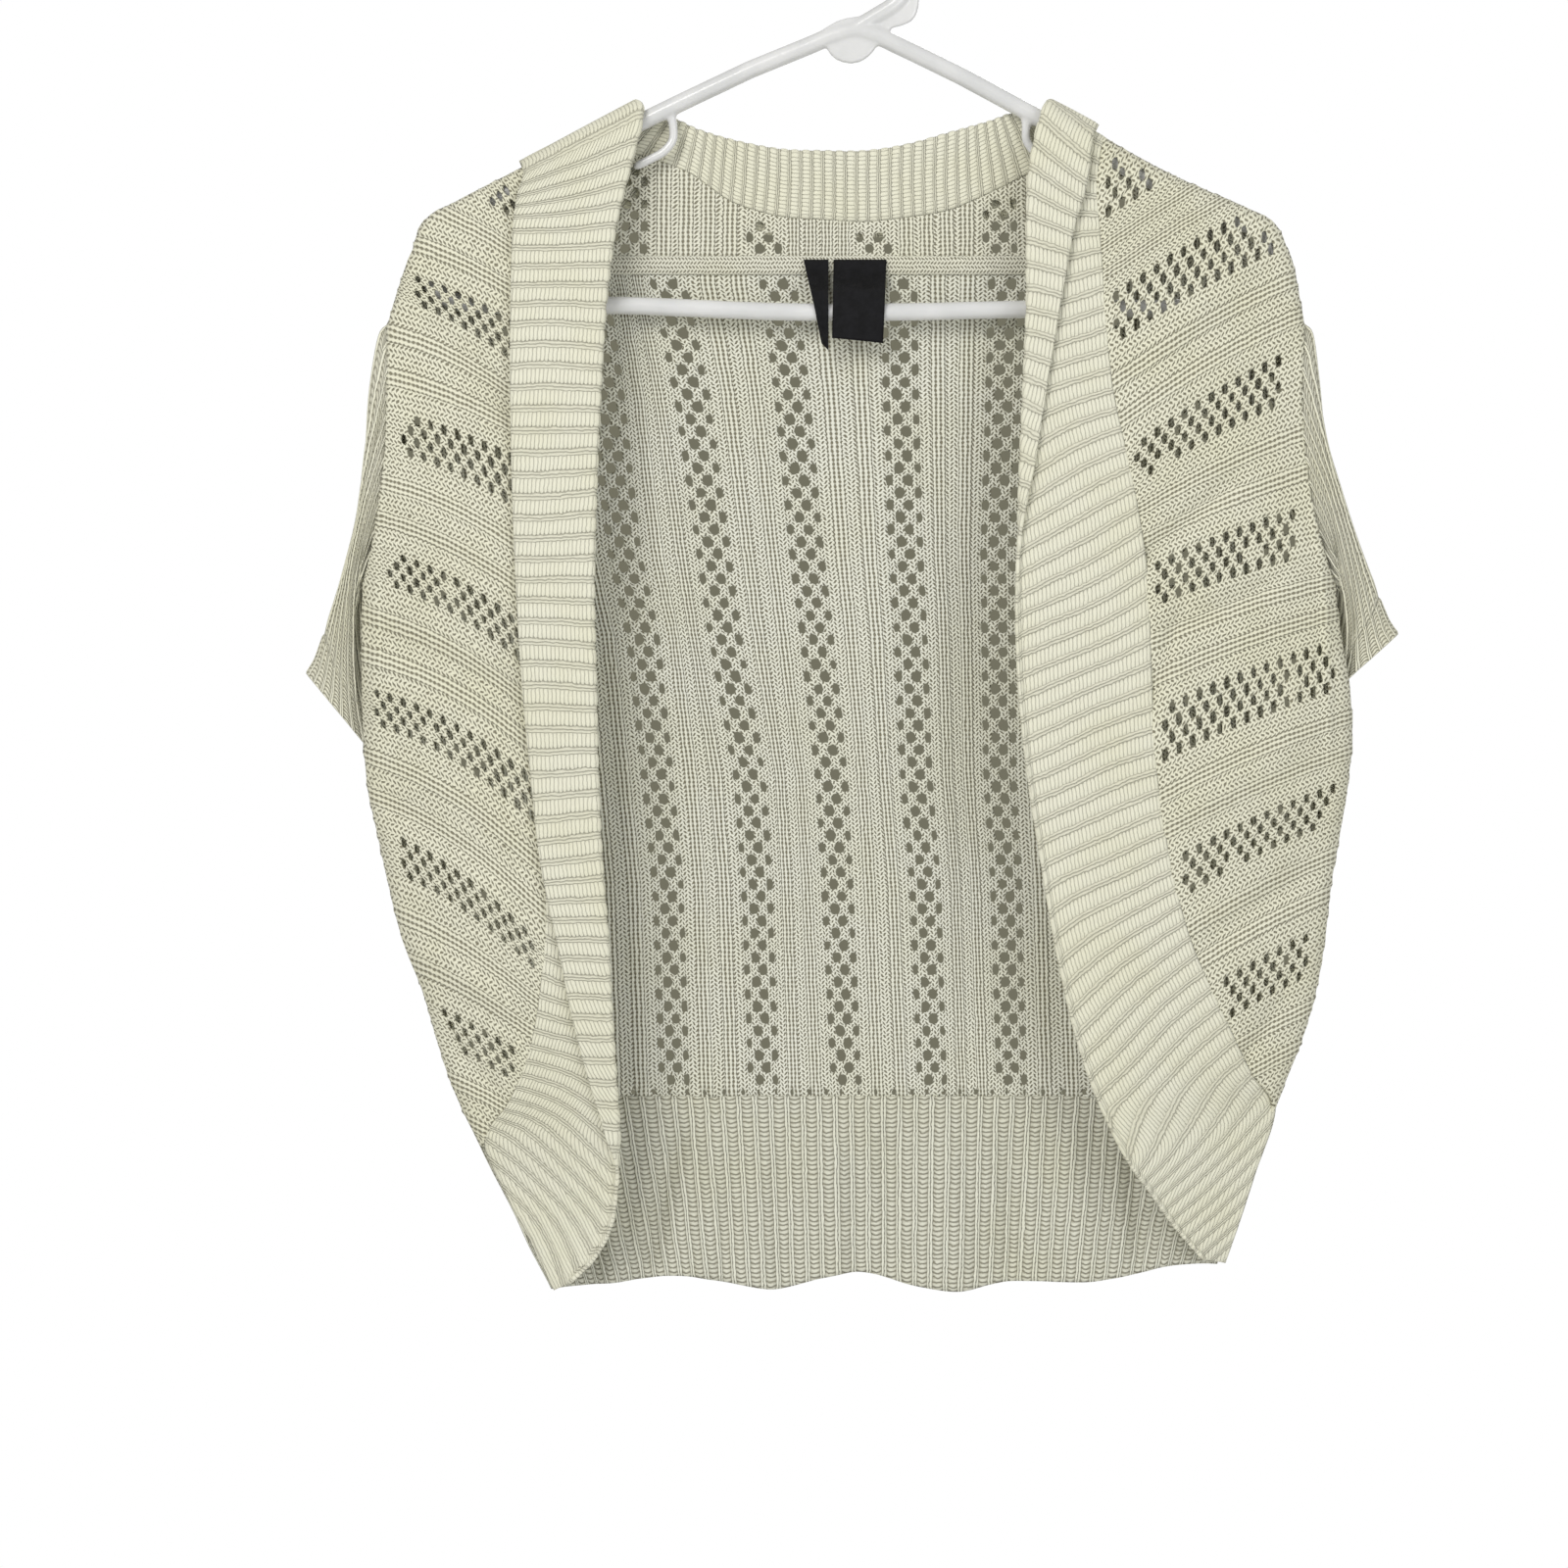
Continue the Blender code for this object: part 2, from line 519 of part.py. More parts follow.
def make_back():
    grid = []
    for z in BACK_ROWS:
        ins = max(0.01, armhole_in(z, ARMHOLE_IN_BACK)) if ARMHOLE_FOOT_Z < z < ARMHOLE_TOP_Z else 0.01
        x = side_columns(z, (ins, ins), 12)
        y = hull_y(x, np.full_like(x, z), 1) + hem_wave(x, np.full_like(x, z))
        if ins < 1:
            y[0] = y[-1] = 0.85
        grid.append(np.stack([x, y, np.full_like(x, z)], 1))
    return cloth("back_panel", grid, LACE_T, LACE)


def make_hem():
    grid = []
    foot = np.array(HEM_FOOT, float)
    top = HEM_SEAM_Z - GAP
    for v in np.linspace(0, 1, 5):
        line = []
        z_mid = top + (-677 - top) * v
        x = side_columns(z_mid, (0.02, 0.02), 19)
        for j, xx in enumerate(x):
            z_foot = hermite(foot[:, 0], foot[:, 1:2], [np.clip(xx, -160, 180)])[0, 0]
            z = top + (z_foot - top) * v
            line.append((xx, z))
        line = np.array(line)
        y = hull_y(line[:, 0], line[:, 1], 1) + hem_wave(line[:, 0], line[:, 1])
        y[0] = y[-1] = 0.9
        y[1] = max(y[1], 2.6)
        y[-2] = max(y[-2], 2.6)
        grid.append(np.stack([line[:, 0], y, line[:, 1]], 1))
    return cloth("back_hem", grid, RIB_T, RIB)


def collar_rows():
    """Places along the collar, closer together where it bends over the arms."""
    a, b = KNOTS[LEFT_CROSS[1]], KNOTS[RIGHT_CROSS[1]]
    a2, b2 = KNOTS[LEFT_CROSS[2]], KNOTS[RIGHT_CROSS[0]]
    mid = KNOTS[LEFT_CROSS[2] + 1:RIGHT_CROSS[0]]
    near_a = [a + GAP, a + 1.6, a + (a2 - a) * 0.5, a2, a2 + (mid[0] - a2) * 0.3, a2 + (mid[0] - a2) * 0.62]
    near_b = [b - GAP, b - 1.6, b - (b - b2) * 0.5, b2, b2 - (b2 - mid[-1]) * 0.3, b2 - (b2 - mid[-1]) * 0.62]
    return np.array(near_a + list(mid) + near_b[::-1])


def make_yoke():
    """Between the arms and the collar's seam above, and the neck seam below."""
    foot = NECK_SEAM_Z
    top = []
    for side in ("left", "right"):
        arm, cross = (ARM_LEFT, CROSS_LEFT[0]) if side == "left" else (ARM_RIGHT, CROSS_RIGHT[0])
        sgn = 1 if side == "left" else -1
        s_tip = outline_s(*TIP[side])
        c, n = arm_frame(arm, np.array([cross - sgn * 0.8]))
        s_end = outline_s(*(c + n * ROLL)[0])
        ridge = []
        for share in (0, 0.03, 0.09, 0.2, 0.4, 0.6, 0.8, 0.96):
            p, _ = outline_at(s_tip + (s_end - s_tip) * share)
            ridge.append((p[0], 0.75, p[1], 0, share))
        if side == "left":
            top += ridge
            s, f, _ = band_lines(collar_rows()[2:-2])
            s = s - unit(f - s) * (GAP + 0.3)
            top += [(p[0], p[1], p[2], 1, 1.0) for p in s]
        else:
            top += ridge[::-1]
    shares = np.array([0, 0.03, 0.1, 0.22, 0.5, 1.0])
    s_shoulder = {side: outline_s(*TIP[side]) for side in TIP}
    s_foot = {side: outline_s_at_height(foot, side) for side in TIP}
    side_foot = {"left": side_x(np.array([foot]), "left")[0] + 0.02, "right": side_x(np.array([foot]), "right")[0] - 0.02}
    cols = []
    for x, y, z, kind, share in top:
        side = "left" if x < 0 else "right"
        lean = (side_foot[side] - TIP[side][0]) * max(0.0, 1 - share / 0.3) if kind == 0 else 0.0
        h = z - foot
        pts = []
        for k, v in enumerate(shares):
            xx, zz = x + lean * v, z - h * v
            if share == 0:
                xx, zz = outline_at(s_shoulder[side] + (s_foot[side] - s_shoulder[side]) * v)[0]
                yy = 0.85
            else:
                yy = y if k == 0 else hull_y(xx, zz, 1)[0]
            pts.append((xx, yy, zz))
        cols.append(pts)
    grid = np.array(cols).transpose(1, 0, 2)
    return cloth("back_yoke", grid, LACE_T, LACE)


def make_tape():
    x = np.linspace(-176, 172, 20)
    grid = []
    for z in (-183.5, -186.0, -190.0, -192.5):
        y = hull_y(x, np.full_like(x, z), 1) - LACE_T / 2 - 0.35 - 0.6
        grid.append(np.stack([x, y, np.full_like(x, z)], 1))
    return cloth("neck_tape", grid, 1.2, RIB)


# ----------------------------------------------------------------------------- sleeves
def sleeve_ring(side):
    """The sleeve's head, just inside the armhole's edge: down the front of it, then up the back."""
    sgn = 1 if side == "left" else -1
    zs = [-232, -250, -268, -287, -306, -325]
    pts = [(ARMHOLE_TOP_Z - 2.2, 0.0, -1)]
    pts += [(z, armhole_in(z, ARMHOLE_IN_FRONT) - (1.6 if z > -320 else 2.8), -1) for z in zs]
    pts += [(ARMHOLE_FOOT_Z + 3.4, 0.0, -1)]
    pts += [(z, armhole_in(z, ARMHOLE_IN_BACK) - (1.7 if z > -320 else 3.0), 1) for z in zs[::-1]]
    ring = []
    for z, d, f in pts:
        x = side_x(np.array([float(z)]), side)[0] + sgn * d
        y = hull_y(np.array([x]), np.array([float(z)]), f, np.array([float(d)]))[0] if d > 0 else 0.0
        ring.append((x, y, z))
    return np.array(ring)


def sleeve_end(side, n):
    c = CUFF_END[side]
    o, i = np.array(c["outer"], float), np.array(c["inner"], float)
    mid, axis = (o + i) / 2, (o - i) / 2
    front = np.array([0, -1.0, 0]) * c["half"]
    a = 2 * np.pi * np.arange(n) / n
    ca, sa = np.cos(a), np.sin(a)
    soft = np.sign(sa) * np.abs(sa) ** 0.8
    return mid + ca[:, None] * axis + soft[:, None] * front


def sleeve_grid(side, shares):
    a = sleeve_ring(side)
    sgn = 1 if side == "left" else -1
    deep = (a[:, 0] - side_x(a[:, 2], side)) * sgn
    away = unit(np.stack([-sgn * np.maximum(ROLL - deep, 0), a[:, 1], np.zeros(len(a))], 1))
    n = len(a)
    b = sleeve_end(side, n)
    pull = np.array(CUFF_END[side]["pull"], float)
    k = np.arange(n) / n * 4
    i = np.floor(k).astype(int) % 4
    s = (k - np.floor(k))[:, None]
    s = s * s * (3 - 2 * s)
    c = pull[i] * (1 - s) + pull[(i + 1) % 4] * s
    rows = []
    for share, gap in shares:
        # a cuff's seam is opened more at its inner corner, where it runs steeply
        t = share + gap * (0.7 - 0.3 * np.cos(2 * np.pi * np.arange(n) / n))[:, None]
        r = (1 - t) ** 2 * a + 2 * t * (1 - t) * c + t * t * b
        # it leaves the armhole square to the body
        start = min(1.0, share / 0.22)
        r = (a + away * 5.0 * start) * (1 - start) + r * start
        if share < 1:
            even = 0.5 * np.clip((share - 0.1) / 0.2, 0, 1)
            r = r * (1 - even) + 0.5 * even * (np.roll(r, 1, 0) + np.roll(r, -1, 0))
        rows.append(clear_of_body(r, side, share))
    return np.array(rows)


def clear_of_body(ring, side, t):
    """Moves a ring of the sleeve out of the body's side, square to it."""
    sgn = 1 if side == "left" else -1
    room = ((LACE_T + RIB_T) / 2 + 1.0) * min(1.0, t / 0.1) + 2.4 * np.clip((t - 0.1) / 0.3, 0, 1)
    out = ring.copy()
    for i, (x, y, z) in enumerate(ring):
        edge = side_x(np.array([z]), side)[0]
        deep = (x - edge) * sgn
        if z > ARMHOLE_FOOT_Z + 2 and deep < armhole_in(z, ARMHOLE_IN_BACK) - 1:
            r = math.hypot(ROLL - deep, y)
            if deep < ROLL and r < ROLL + min(room, CUFF_END[side]["off"]):
                k = (ROLL + min(room, CUFF_END[side]["off"])) / max(r, 1e-6)
                out[i] = (edge + sgn * (ROLL - (ROLL - deep) * k), y * k, z)
        elif deep < ROLL:
            r = math.hypot(ROLL - deep, y)
            if r < ROLL + room:
                k = (ROLL + room) / max(r, 1e-6)
                out[i] = (edge + sgn * (ROLL - (ROLL - deep) * k), y * k, z)
        else:
            out[i, 1] = max(y, hull_y(x, z, 1)[0] + room)
    return out


# ----------------------------------------------------------------------------- labels
def label_grid(spec, cols, twist):
    back = hull_y(0.0, -188.0, 1)[0] - LACE_T / 2 - 0.35 - 1.2 - 0.35 - LABEL_T / 2 - 0.3
    front = -TUBE_R - 0.5 - LABEL_T / 2
    rows = [(-185.5, 0.0), (-191, 0.12), (-197, 0.5), (-202.5, 0.9), (-206, 1.0), (-211, 1.02), (-217, 0.98), (None, 0.9)]
    tl, tr = spec["top"]
    fl, fr = spec["foot"]
    grid = []
    for z, share in rows:
        line = []
        for j in range(cols):
            u = j / (cols - 1)
            z_foot = spec["z"][0] + (spec["z"][1] - spec["z"][0]) * u
            zz = z_foot if z is None else z
            v = (-185.5 - zz) / (-185.5 - z_foot)
            x = (tl + (tr - tl) * u) * (1 - v) + (fl + (fr - fl) * u) * v
            y = back + (front - back) * share - twist * max(0.0, v - 0.66) * (u - 0.5) * 3
            line.append((x, y, zz))
        grid.append(line)
    return np.array(grid)


# ----------------------------------------------------------------------------- build
make_hanger()
_, ts_left = make_front("front_left", "left", LEFT_ROWS, ARM_LEFT, CROSS_LEFT[0], (0, LEFT_CROSS[0]))
_, ts_right = make_front("front_right", "right", RIGHT_ROWS, ARM_RIGHT, CROSS_RIGHT[0], (RIGHT_CROSS[2], len(STATIONS) - 1))
make_back()
make_hem()
make_yoke()
make_tape()

cut_left, cut_right = KNOTS[LEFT_CROSS[1]], KNOTS[RIGHT_CROSS[1]]
top_left = np.array([KNOTS[LEFT_CROSS[0]], (KNOTS[LEFT_CROSS[0]] + cut_left) / 2, cut_left - 1.6, cut_left - GAP])
foot_left = np.concatenate([np.linspace(KNOTS[0], KNOTS[3], 5), np.linspace(KNOTS[3], KNOTS[4], 4)[1:]])
rows_left = np.unique(np.concatenate([foot_left, ts_left[ts_left > KNOTS[4] + 1.0], top_left]))
cloth("band_left", band_section(rows_left, 2, 3, 2), RIB_T, RIB)
cloth("collar_back", band_section(collar_rows(), 2, 3, 2), RIB_T, RIB)
foot_right = np.linspace(KNOTS[-4], KNOTS[-1], 6)
top_right = np.array([cut_right + GAP, cut_right + 1.6, (cut_right + KNOTS[RIGHT_CROSS[2]]) / 2, KNOTS[RIGHT_CROSS[2]]])
rows_right = np.unique(np.concatenate([top_right, ts_right[ts_right < KNOTS[-4] - 1.0], foot_right]))
cloth("band_right", band_section(rows_right, 3, 3, 2), RIB_T, RIB)

for side in ("left", "right"):
    gap = CUFF_END[side]["seam"]
    rows = [(share, 0.0) for share in (0, 0.09, 0.18, 0.3, 0.45, 0.6, 0.74)] + [(CUFF_FROM, -gap)]
    cloth("sleeve_" + side, sleeve_grid(side, rows), LACE_T, LACE, ring=True)
    cloth("cuff_" + side, sleeve_grid(side, [(CUFF_FROM, gap), (0.94, 0.0), (1.0, 0.0)]), RIB_T, RIB, ring=True)

cloth("label_wide", label_grid(LABEL_WIDE, 5, 0.0), LABEL_T, LABEL)
cloth("label_narrow", label_grid(LABEL_NARROW, 4, 4.0), LABEL_T, LABEL)
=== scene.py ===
"""Looks of the cardigan and its hanger: fine knit shells on the solids' own forms.

Metres and +Z up in the frame; tables here are in millimetres, in the part's own coordinates.
"""
import math

import bpy
import numpy as np
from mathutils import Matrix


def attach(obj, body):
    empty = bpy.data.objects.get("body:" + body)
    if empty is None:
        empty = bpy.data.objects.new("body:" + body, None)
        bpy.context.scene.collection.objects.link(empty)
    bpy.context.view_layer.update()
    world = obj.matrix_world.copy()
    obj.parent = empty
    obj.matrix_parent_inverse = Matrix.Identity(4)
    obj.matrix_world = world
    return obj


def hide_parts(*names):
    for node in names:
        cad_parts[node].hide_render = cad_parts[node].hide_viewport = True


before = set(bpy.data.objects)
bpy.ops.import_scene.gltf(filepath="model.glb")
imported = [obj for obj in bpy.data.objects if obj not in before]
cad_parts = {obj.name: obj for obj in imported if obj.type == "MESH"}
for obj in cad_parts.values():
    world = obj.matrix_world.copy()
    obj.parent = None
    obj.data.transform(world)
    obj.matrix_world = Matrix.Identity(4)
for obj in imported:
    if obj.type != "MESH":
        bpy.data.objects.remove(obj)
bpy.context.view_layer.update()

# ----------------------------------------------------------------------------- named sizes (mm)
TUBE_R = 4.3          # hanger tube
STRAP_HOOK_R = 2.2
ROLL = 6.5            # radius of the cloth's middle over an arm and round a side
LACE_T = 2.0          # lace knit wall
RIB_T = 2.5           # ribbed wall
LABEL_T = 1.0
GAP = 0.4             # between two pieces at a seam
FOLD_R = (RIB_T + 0.8) / 2
LAPEL_LIFT = 3.2      # lapel's free edge, above the lace under it
NECK_SEAM_Z = -188.0
HEM_SEAM_Z = -588.0
ARMHOLE_TOP_Z = -215.0
ARMHOLE_FOOT_Z = -345.0
ARMHOLE_IN_FRONT = 10.0
ARMHOLE_IN_BACK = 18.0
CUFF_FROM = 0.86      # share of the sleeve's length where the cuff starts
FRONT_FILL = 75.0     # how far in from the outline the hull reaches its full depth
BACK_FILL = 80.0

# arm centre line of the hanger, neck to shoulder: x, z
ARM_LEFT = [(-2, -75), (-50, -95), (-98, -118), (-128, -133), (-160, -150), (-189, -165), (-201, -172)]
ARM_RIGHT = [(2, -74), (51, -98), (88, -118), (112, -131), (131, -142), (150, -152), (170, -161), (186, -168),
             (197, -174)]

# outline of the body below the shoulders: z, left x, right x
SIDES = [
    (-176, -208.5, 205), (-185, -213, 209), (-199, -218, 212), (-216, -223, 215), (-232, -227, 218), (-253, -230, 220),
    (-277, -232, 223), (-301, -234, 225), (-325, -235, 228), (-367, -236, 233), (-391, -236, 237), (-414, -235, 238),
    (-439, -233, 236), (-463, -228, 232), (-486, -223, 228), (-513, -216, 225), (-536, -207, 221), (-563, -199, 213),
    (-586, -191, 204), (-607, -181, 197), (-625, -172, 192), (-642, -163, 187), (-657, -156, 181), (-672, -148, 176),
    (-690, -139, 169),
]

# depth of the hull at mid panel: z, front, back
DEPTH = [
    (-100, 8, 8), (-165, 12, 9.5), (-203, 15, 11), (-250, 19, 13), (-300, 22, 15), (-350, 25, 17), (-430, 27, 19),
    (-510, 27, 20), (-560, 25, 20), (-600, 21, 19), (-640, 15, 18), (-690, 9, 16),
]

# the ribbed band's seam, fold and free edge on the left front, foot to shoulder: xs, zs, xf, zf, xe, ze
BAND_LEFT = [
    (-144, -680, -136, -676, -136, -676), (-152, -665, -126, -664, -126, -664), (-161, -647, -118, -648, -118, -648),
    (-170, -628, -115, -628, -116, -628), (-177, -607, -114, -604, -119, -604), (-165, -589, -115, -580, -126, -580),
    (-154, -560, -117, -550, -134, -550), (-148, -517, -119, -513, -141, -514), (-147, -475, -122, -475, -149, -477),
    (-149, -433, -124, -433, -154, -433), (-150, -391, -125, -391, -158, -391), (-151, -344, -126, -344, -161, -344),
    (-152, -297, -125, -297, -163, -297), (-151, -250, -123, -250, -164, -250), (-148, -203, -120, -203, -164, -203),
    (-141, -165, -115, -167, -163, -170), (-134, -141, -108, -139, -161, -156),
]
# where it crosses the left arm, as x on the arm: seam, fold, free edge
CROSS_LEFT = (-126, -101, -156)
# round the back neck, left to right
COLLAR = [
    (-104, -135, -91, -118, -135, -152), (-79, -144, -75, -125, -104, -162), (-60, -157, -58, -130, -81, -168),
    (-38, -164, -37, -134, -53, -172), (-16, -166, -16, -135, -16, -174), (5, -167, 5, -135, 8, -174),
    (25, -165, 25, -132, 37, -173), (47, -161, 47, -126, 63, -168), (70, -151, 65, -121, 84, -158),
    (95, -139, 80, -116, 102, -143),
]
CROSS_RIGHT = (117, 90, 112)
# down the right front, shoulder to foot
BAND_RIGHT = [
    (116, -150, 86, -139, 111, -151), (117, -172, 84, -167, 105, -171), (119, -203, 84, -203, 99, -203),
    (123, -250, 82, -250, 91, -250), (132, -292, 80, -297, 84, -297), (139, -339, 79, -344, 80, -344),
    (141, -391, 80, -386, 80, -386), (144, -438, 84, -430, 84, -430), (151, -480, 91, -475, 91, -475),
    (161, -516, 100, -525, 100, -525), (175, -546, 109, -562, 109, -562), (188, -573, 120, -592, 120, -592),
    (199, -592, 132, -616, 132, -616), (191, -625, 144, -633, 144, -633), (182, -650, 155, -649, 155, -649),
    (176, -667, 168, -665, 168, -665),
]

# rows of the two lace fronts below the shoulder: height at the band's seam, height at the side
LEFT_ROWS = [
    (-141, -184), (-153, -194), (-167, -204), (-185, -215), (-205, -232), (-227, -250), (-249, -268), (-272, -287),
    (-295, -306), (-318, -325), (-342, -345), (-372, -374), (-403, -404), (-433, -434), (-463, -463), (-492, -493),
    (-520, -522), (-545, -548), (-568, -570), (-589, -588), (-605, -602),
]
RIGHT_ROWS = [
    (-150, -187), (-158, -195), (-170, -204), (-187, -215), (-207, -232), (-228, -250), (-250, -268), (-272, -287),
    (-294, -306), (-317, -325), (-340, -345), (-370, -374), (-400, -404), (-430, -434), (-460, -463), (-488, -493),
    (-514, -520), (-538, -543), (-558, -562), (-572, -574), (-582, -583),
]
BACK_ROWS = [-188.4, -202, -215, -232, -250, -268, -287, -306, -325, -345, -374, -404, -434, -463, -493, -522, -555, -587.6]

# soft upright folds of the back's hem: x, half width, depth towards the front, length up the hem
HEM_FOLDS = [(-112, 22, 3.0, 70), (-45, 27, 5.0, 85), (44, 28, 5.5, 85), (104, 26, 3.5, 75)]
# foot of the back's hem: x, z
HEM_FOOT = [(-160, -681), (-122, -678), (-80, -675), (-60, -678), (-38, -681), (-16, -676), (0, -673), (32, -680), (50, -682),
            (70, -678), (118, -677), (135, -674), (150, -670), (180, -668)]

# sleeves: the cuff's open end as outer corner and inner corner, its half thickness, half the gap
# at the cuff's seam as a share of the sleeve, how far it stands off the armhole, and the pull of the sleeve's outer, front, inner
# and back lines on the way there: x, y, z
CUFF_END = {
    "left": dict(outer=(-263, 9, -385), inner=(-221, 23, -436), half=10.0, seam=0.018, off=2.0,
                 pull=[(-232, 2, -312), (-250, -8, -345), (-250, 11, -372), (-234, 27, -345)]),
    "right": dict(outer=(261, 9, -366), inner=(213, 23, -409), half=10.0, seam=0.028, off=2.3,
                  pull=[(229, 2, -297), (243, -8, -335), (243, 11, -362), (225, 27, -352)]),
}

# hook of the hanger, from the neck up, round and over: x, z
HOOK = [(1, -75), (11, -69), (20, -63), (26, -54), (29, -43), (29, -31), (25.5, -16), (17, -3), (3, 4.3), (-11, 0.5), (-20, -11),
        (-21.5, -24), (-20, -31)]
END_LEFT = [(-204.5, -181), (-204.8, -190), (-201.5, -199), (-194.5, -205), (-185, -207.5)]
END_RIGHT = [(200.5, -183), (201.2, -192), (198, -201), (190.5, -207), (181, -209)]
BAR = [(-118, -208), (-25, -211.3), (16, -211.3), (79, -210)]
STRAP_LEFT = [(-88.5, -114), (-87.0, -122), (-87.2, -129), (-91, -134), (-98, -138), (-106, -142)]
STRAP_RIGHT = [(81.5, -115), (82.3, -122), (82.5, -129), (86, -134), (92, -138), (98, -142)]

# hanging labels in the neck seam: left x and right x at the top, left x and right x at the foot, foot z
LABEL_WIDE = dict(top=(-10.0, 15.5), foot=(-10.8, 13.6), z=(-224.0, -226.5))
LABEL_NARROW = dict(top=(-24.4, -12.4), foot=(-15.6, -12.6), z=(-226.5, -230.0))


# ----------------------------------------------------------------------------- curves
def hermite(knots, values, t):
    """Smooth curve through values at knots, evaluated at t."""
    knots, values, t = np.asarray(knots, float), np.asarray(values, float), np.atleast_1d(np.asarray(t, float))
    slope = np.diff(values, axis=0) / np.diff(knots)[:, None]
    h = np.diff(knots)
    tan = np.empty_like(values)
    tan[0], tan[-1] = slope[0], slope[-1]
    w = (h[1:] / (h[:-1] + h[1:]))[:, None]
    tan[1:-1] = slope[:-1] * w + slope[1:] * (1 - w)
    i = np.clip(np.searchsorted(knots, t, side="right") - 1, 0, len(h) - 1)
    s = ((t - knots[i]) / h[i])[:, None]
    hh = h[i][:, None]
    return (values[i] * (1 + 2 * s) * (1 - s) ** 2 + tan[i] * hh * s * (1 - s) ** 2
            + values[i + 1] * s * s * (3 - 2 * s) + tan[i + 1] * hh * s * s * (s - 1))


def chord_knots(points):
    return np.concatenate([[0.0], np.cumsum(np.linalg.norm(np.diff(np.asarray(points, float), axis=0), axis=1))])


def smooth_line(points, step):
    """Points about step apart on a smooth curve through the given ones."""
    k = chord_knots(points)
    return hermite(k, points, np.linspace(0, k[-1], max(2, int(round(k[-1] / step)) + 1)))


def unit(v):
    return v / np.maximum(np.linalg.norm(v, axis=-1, keepdims=True), 1e-12)


# ----------------------------------------------------------------------------- the hull
def arm_frame(arm, x):
    """Centre and upward normal of an arm at x, in the XZ plane."""
    arm = np.asarray(arm, float)
    order = np.argsort(arm[:, 0])
    z = hermite(arm[order, 0], arm[order, 1:2], np.clip(x, arm[:, 0].min(), arm[:, 0].max()))[:, 0]
    eps = 2.0
    za = hermite(arm[order, 0], arm[order, 1:2], np.clip(x - eps, arm[:, 0].min(), arm[:, 0].max()))[:, 0]
    zb = hermite(arm[order, 0], arm[order, 1:2], np.clip(x + eps, arm[:, 0].min(), arm[:, 0].max()))[:, 0]
    slope = (zb - za) / (2 * eps)
    n = np.stack([-slope, np.ones_like(slope)], 1)
    return np.stack([np.atleast_1d(x) * 1.0, z], 1), unit(n)


SIDES = np.array(SIDES, float)
DEPTH = np.array(DEPTH, float)
SIDE_Z = np.arange(-690.0, -182.0 + 0.1, 4.0)


def side_x(z, side):
    """x of the outline at height z."""
    col = 1 if side == "left" else 2
    return hermite(SIDES[::-1, 0], SIDES[::-1, col:col + 1], np.clip(z, -690, -176))[:, 0]


def outline():
    """The hull's outline seen from the front, from the left foot up, over both arms and down."""
    left = np.stack([side_x(SIDE_Z, "left"), SIDE_Z], 1)
    right = np.stack([side_x(SIDE_Z, "right"), SIDE_Z], 1)[::-1]
    over = []
    for arm, end, sgn in ((ARM_LEFT, END_LEFT, 1), (ARM_RIGHT, END_RIGHT, -1)):
        line = smooth_line(arm + end[:3], 3.0)
        t = unit(np.gradient(line, axis=0))
        off = line + np.stack([t[:, 1], -t[:, 0]], 1) * ROLL * sgn
        over.append(off[off[:, 1] > SIDE_Z[-1] + 1.5])
    return np.concatenate([left, over[0][::-1], over[1], right])


OUTLINE = outline()


OUTLINE_S = chord_knots(OUTLINE)


def outline_at(s):
    """Point and inward normal of the outline at length s along it."""
    p = np.stack([np.interp(s, OUTLINE_S, OUTLINE[:, k]) for k in (0, 1)], -1)
    a = np.stack([np.interp(s - 1.5, OUTLINE_S, OUTLINE[:, k]) for k in (0, 1)], -1)
    b = np.stack([np.interp(s + 1.5, OUTLINE_S, OUTLINE[:, k]) for k in (0, 1)], -1)
    t = unit(b - a)
    return p, np.stack([t[..., 1], -t[..., 0]], -1)


def outline_s(x, z):
    return OUTLINE_S[np.argmin(((OUTLINE - np.array([x, z])) ** 2).sum(1))]


def outline_s_at_height(z, side):
    """Length along the outline where it passes height z on one side."""
    half = OUTLINE[:, 0] < 0 if side == "left" else OUTLINE[:, 0] > 0
    zs, ss = OUTLINE[half, 1], OUTLINE_S[half]
    near = zs < -170
    order = np.argsort(zs[near])
    return np.interp(z, zs[near][order], ss[near][order])


def inset(x, z):
    """Distance in from the outline."""
    p = np.stack([np.ravel(x), np.ravel(z)], 1)
    a, b = OUTLINE[:-1], OUTLINE[1:]
    ab = b - a
    t = np.einsum("pmk,mk->pm", p[:, None] - a[None], ab) / np.maximum((ab ** 2).sum(1), 1e-9)
    near = a[None] + np.clip(t, 0, 1)[..., None] * ab[None]
    return np.sqrt(((p[:, None] - near) ** 2).sum(2).min(1)).reshape(np.shape(x))


def hull_y(x, z, side, d=None):
    """Depth of the hull's front (side -1) or back (side +1) at x, z."""
    x, z = np.atleast_1d(np.asarray(x, float)), np.atleast_1d(np.asarray(z, float))
    d = inset(x, z) if d is None else d
    full = np.interp(-z, -DEPTH[:, 0], DEPTH[:, 1 if side < 0 else 2])
    roll = np.sqrt(np.maximum(ROLL ** 2 - (ROLL - np.minimum(d, ROLL)) ** 2, 0))
    fill = 1 - (1 - np.clip(d / (FRONT_FILL if side < 0 else BACK_FILL), 0, 1)) ** 2
    return side * (roll + np.maximum(full - ROLL, 0) * fill)


def hull(x, z, side):
    x, z = np.atleast_1d(np.asarray(x, float)), np.atleast_1d(np.asarray(z, float))
    return np.stack([x, hull_y(x, z, side), z], -1)


def armhole_in(z, deep):
    s = np.clip((ARMHOLE_TOP_Z - z) / (ARMHOLE_TOP_Z - ARMHOLE_FOOT_Z), 0, 1)
    return deep * np.sin(np.pi * s) ** 0.6


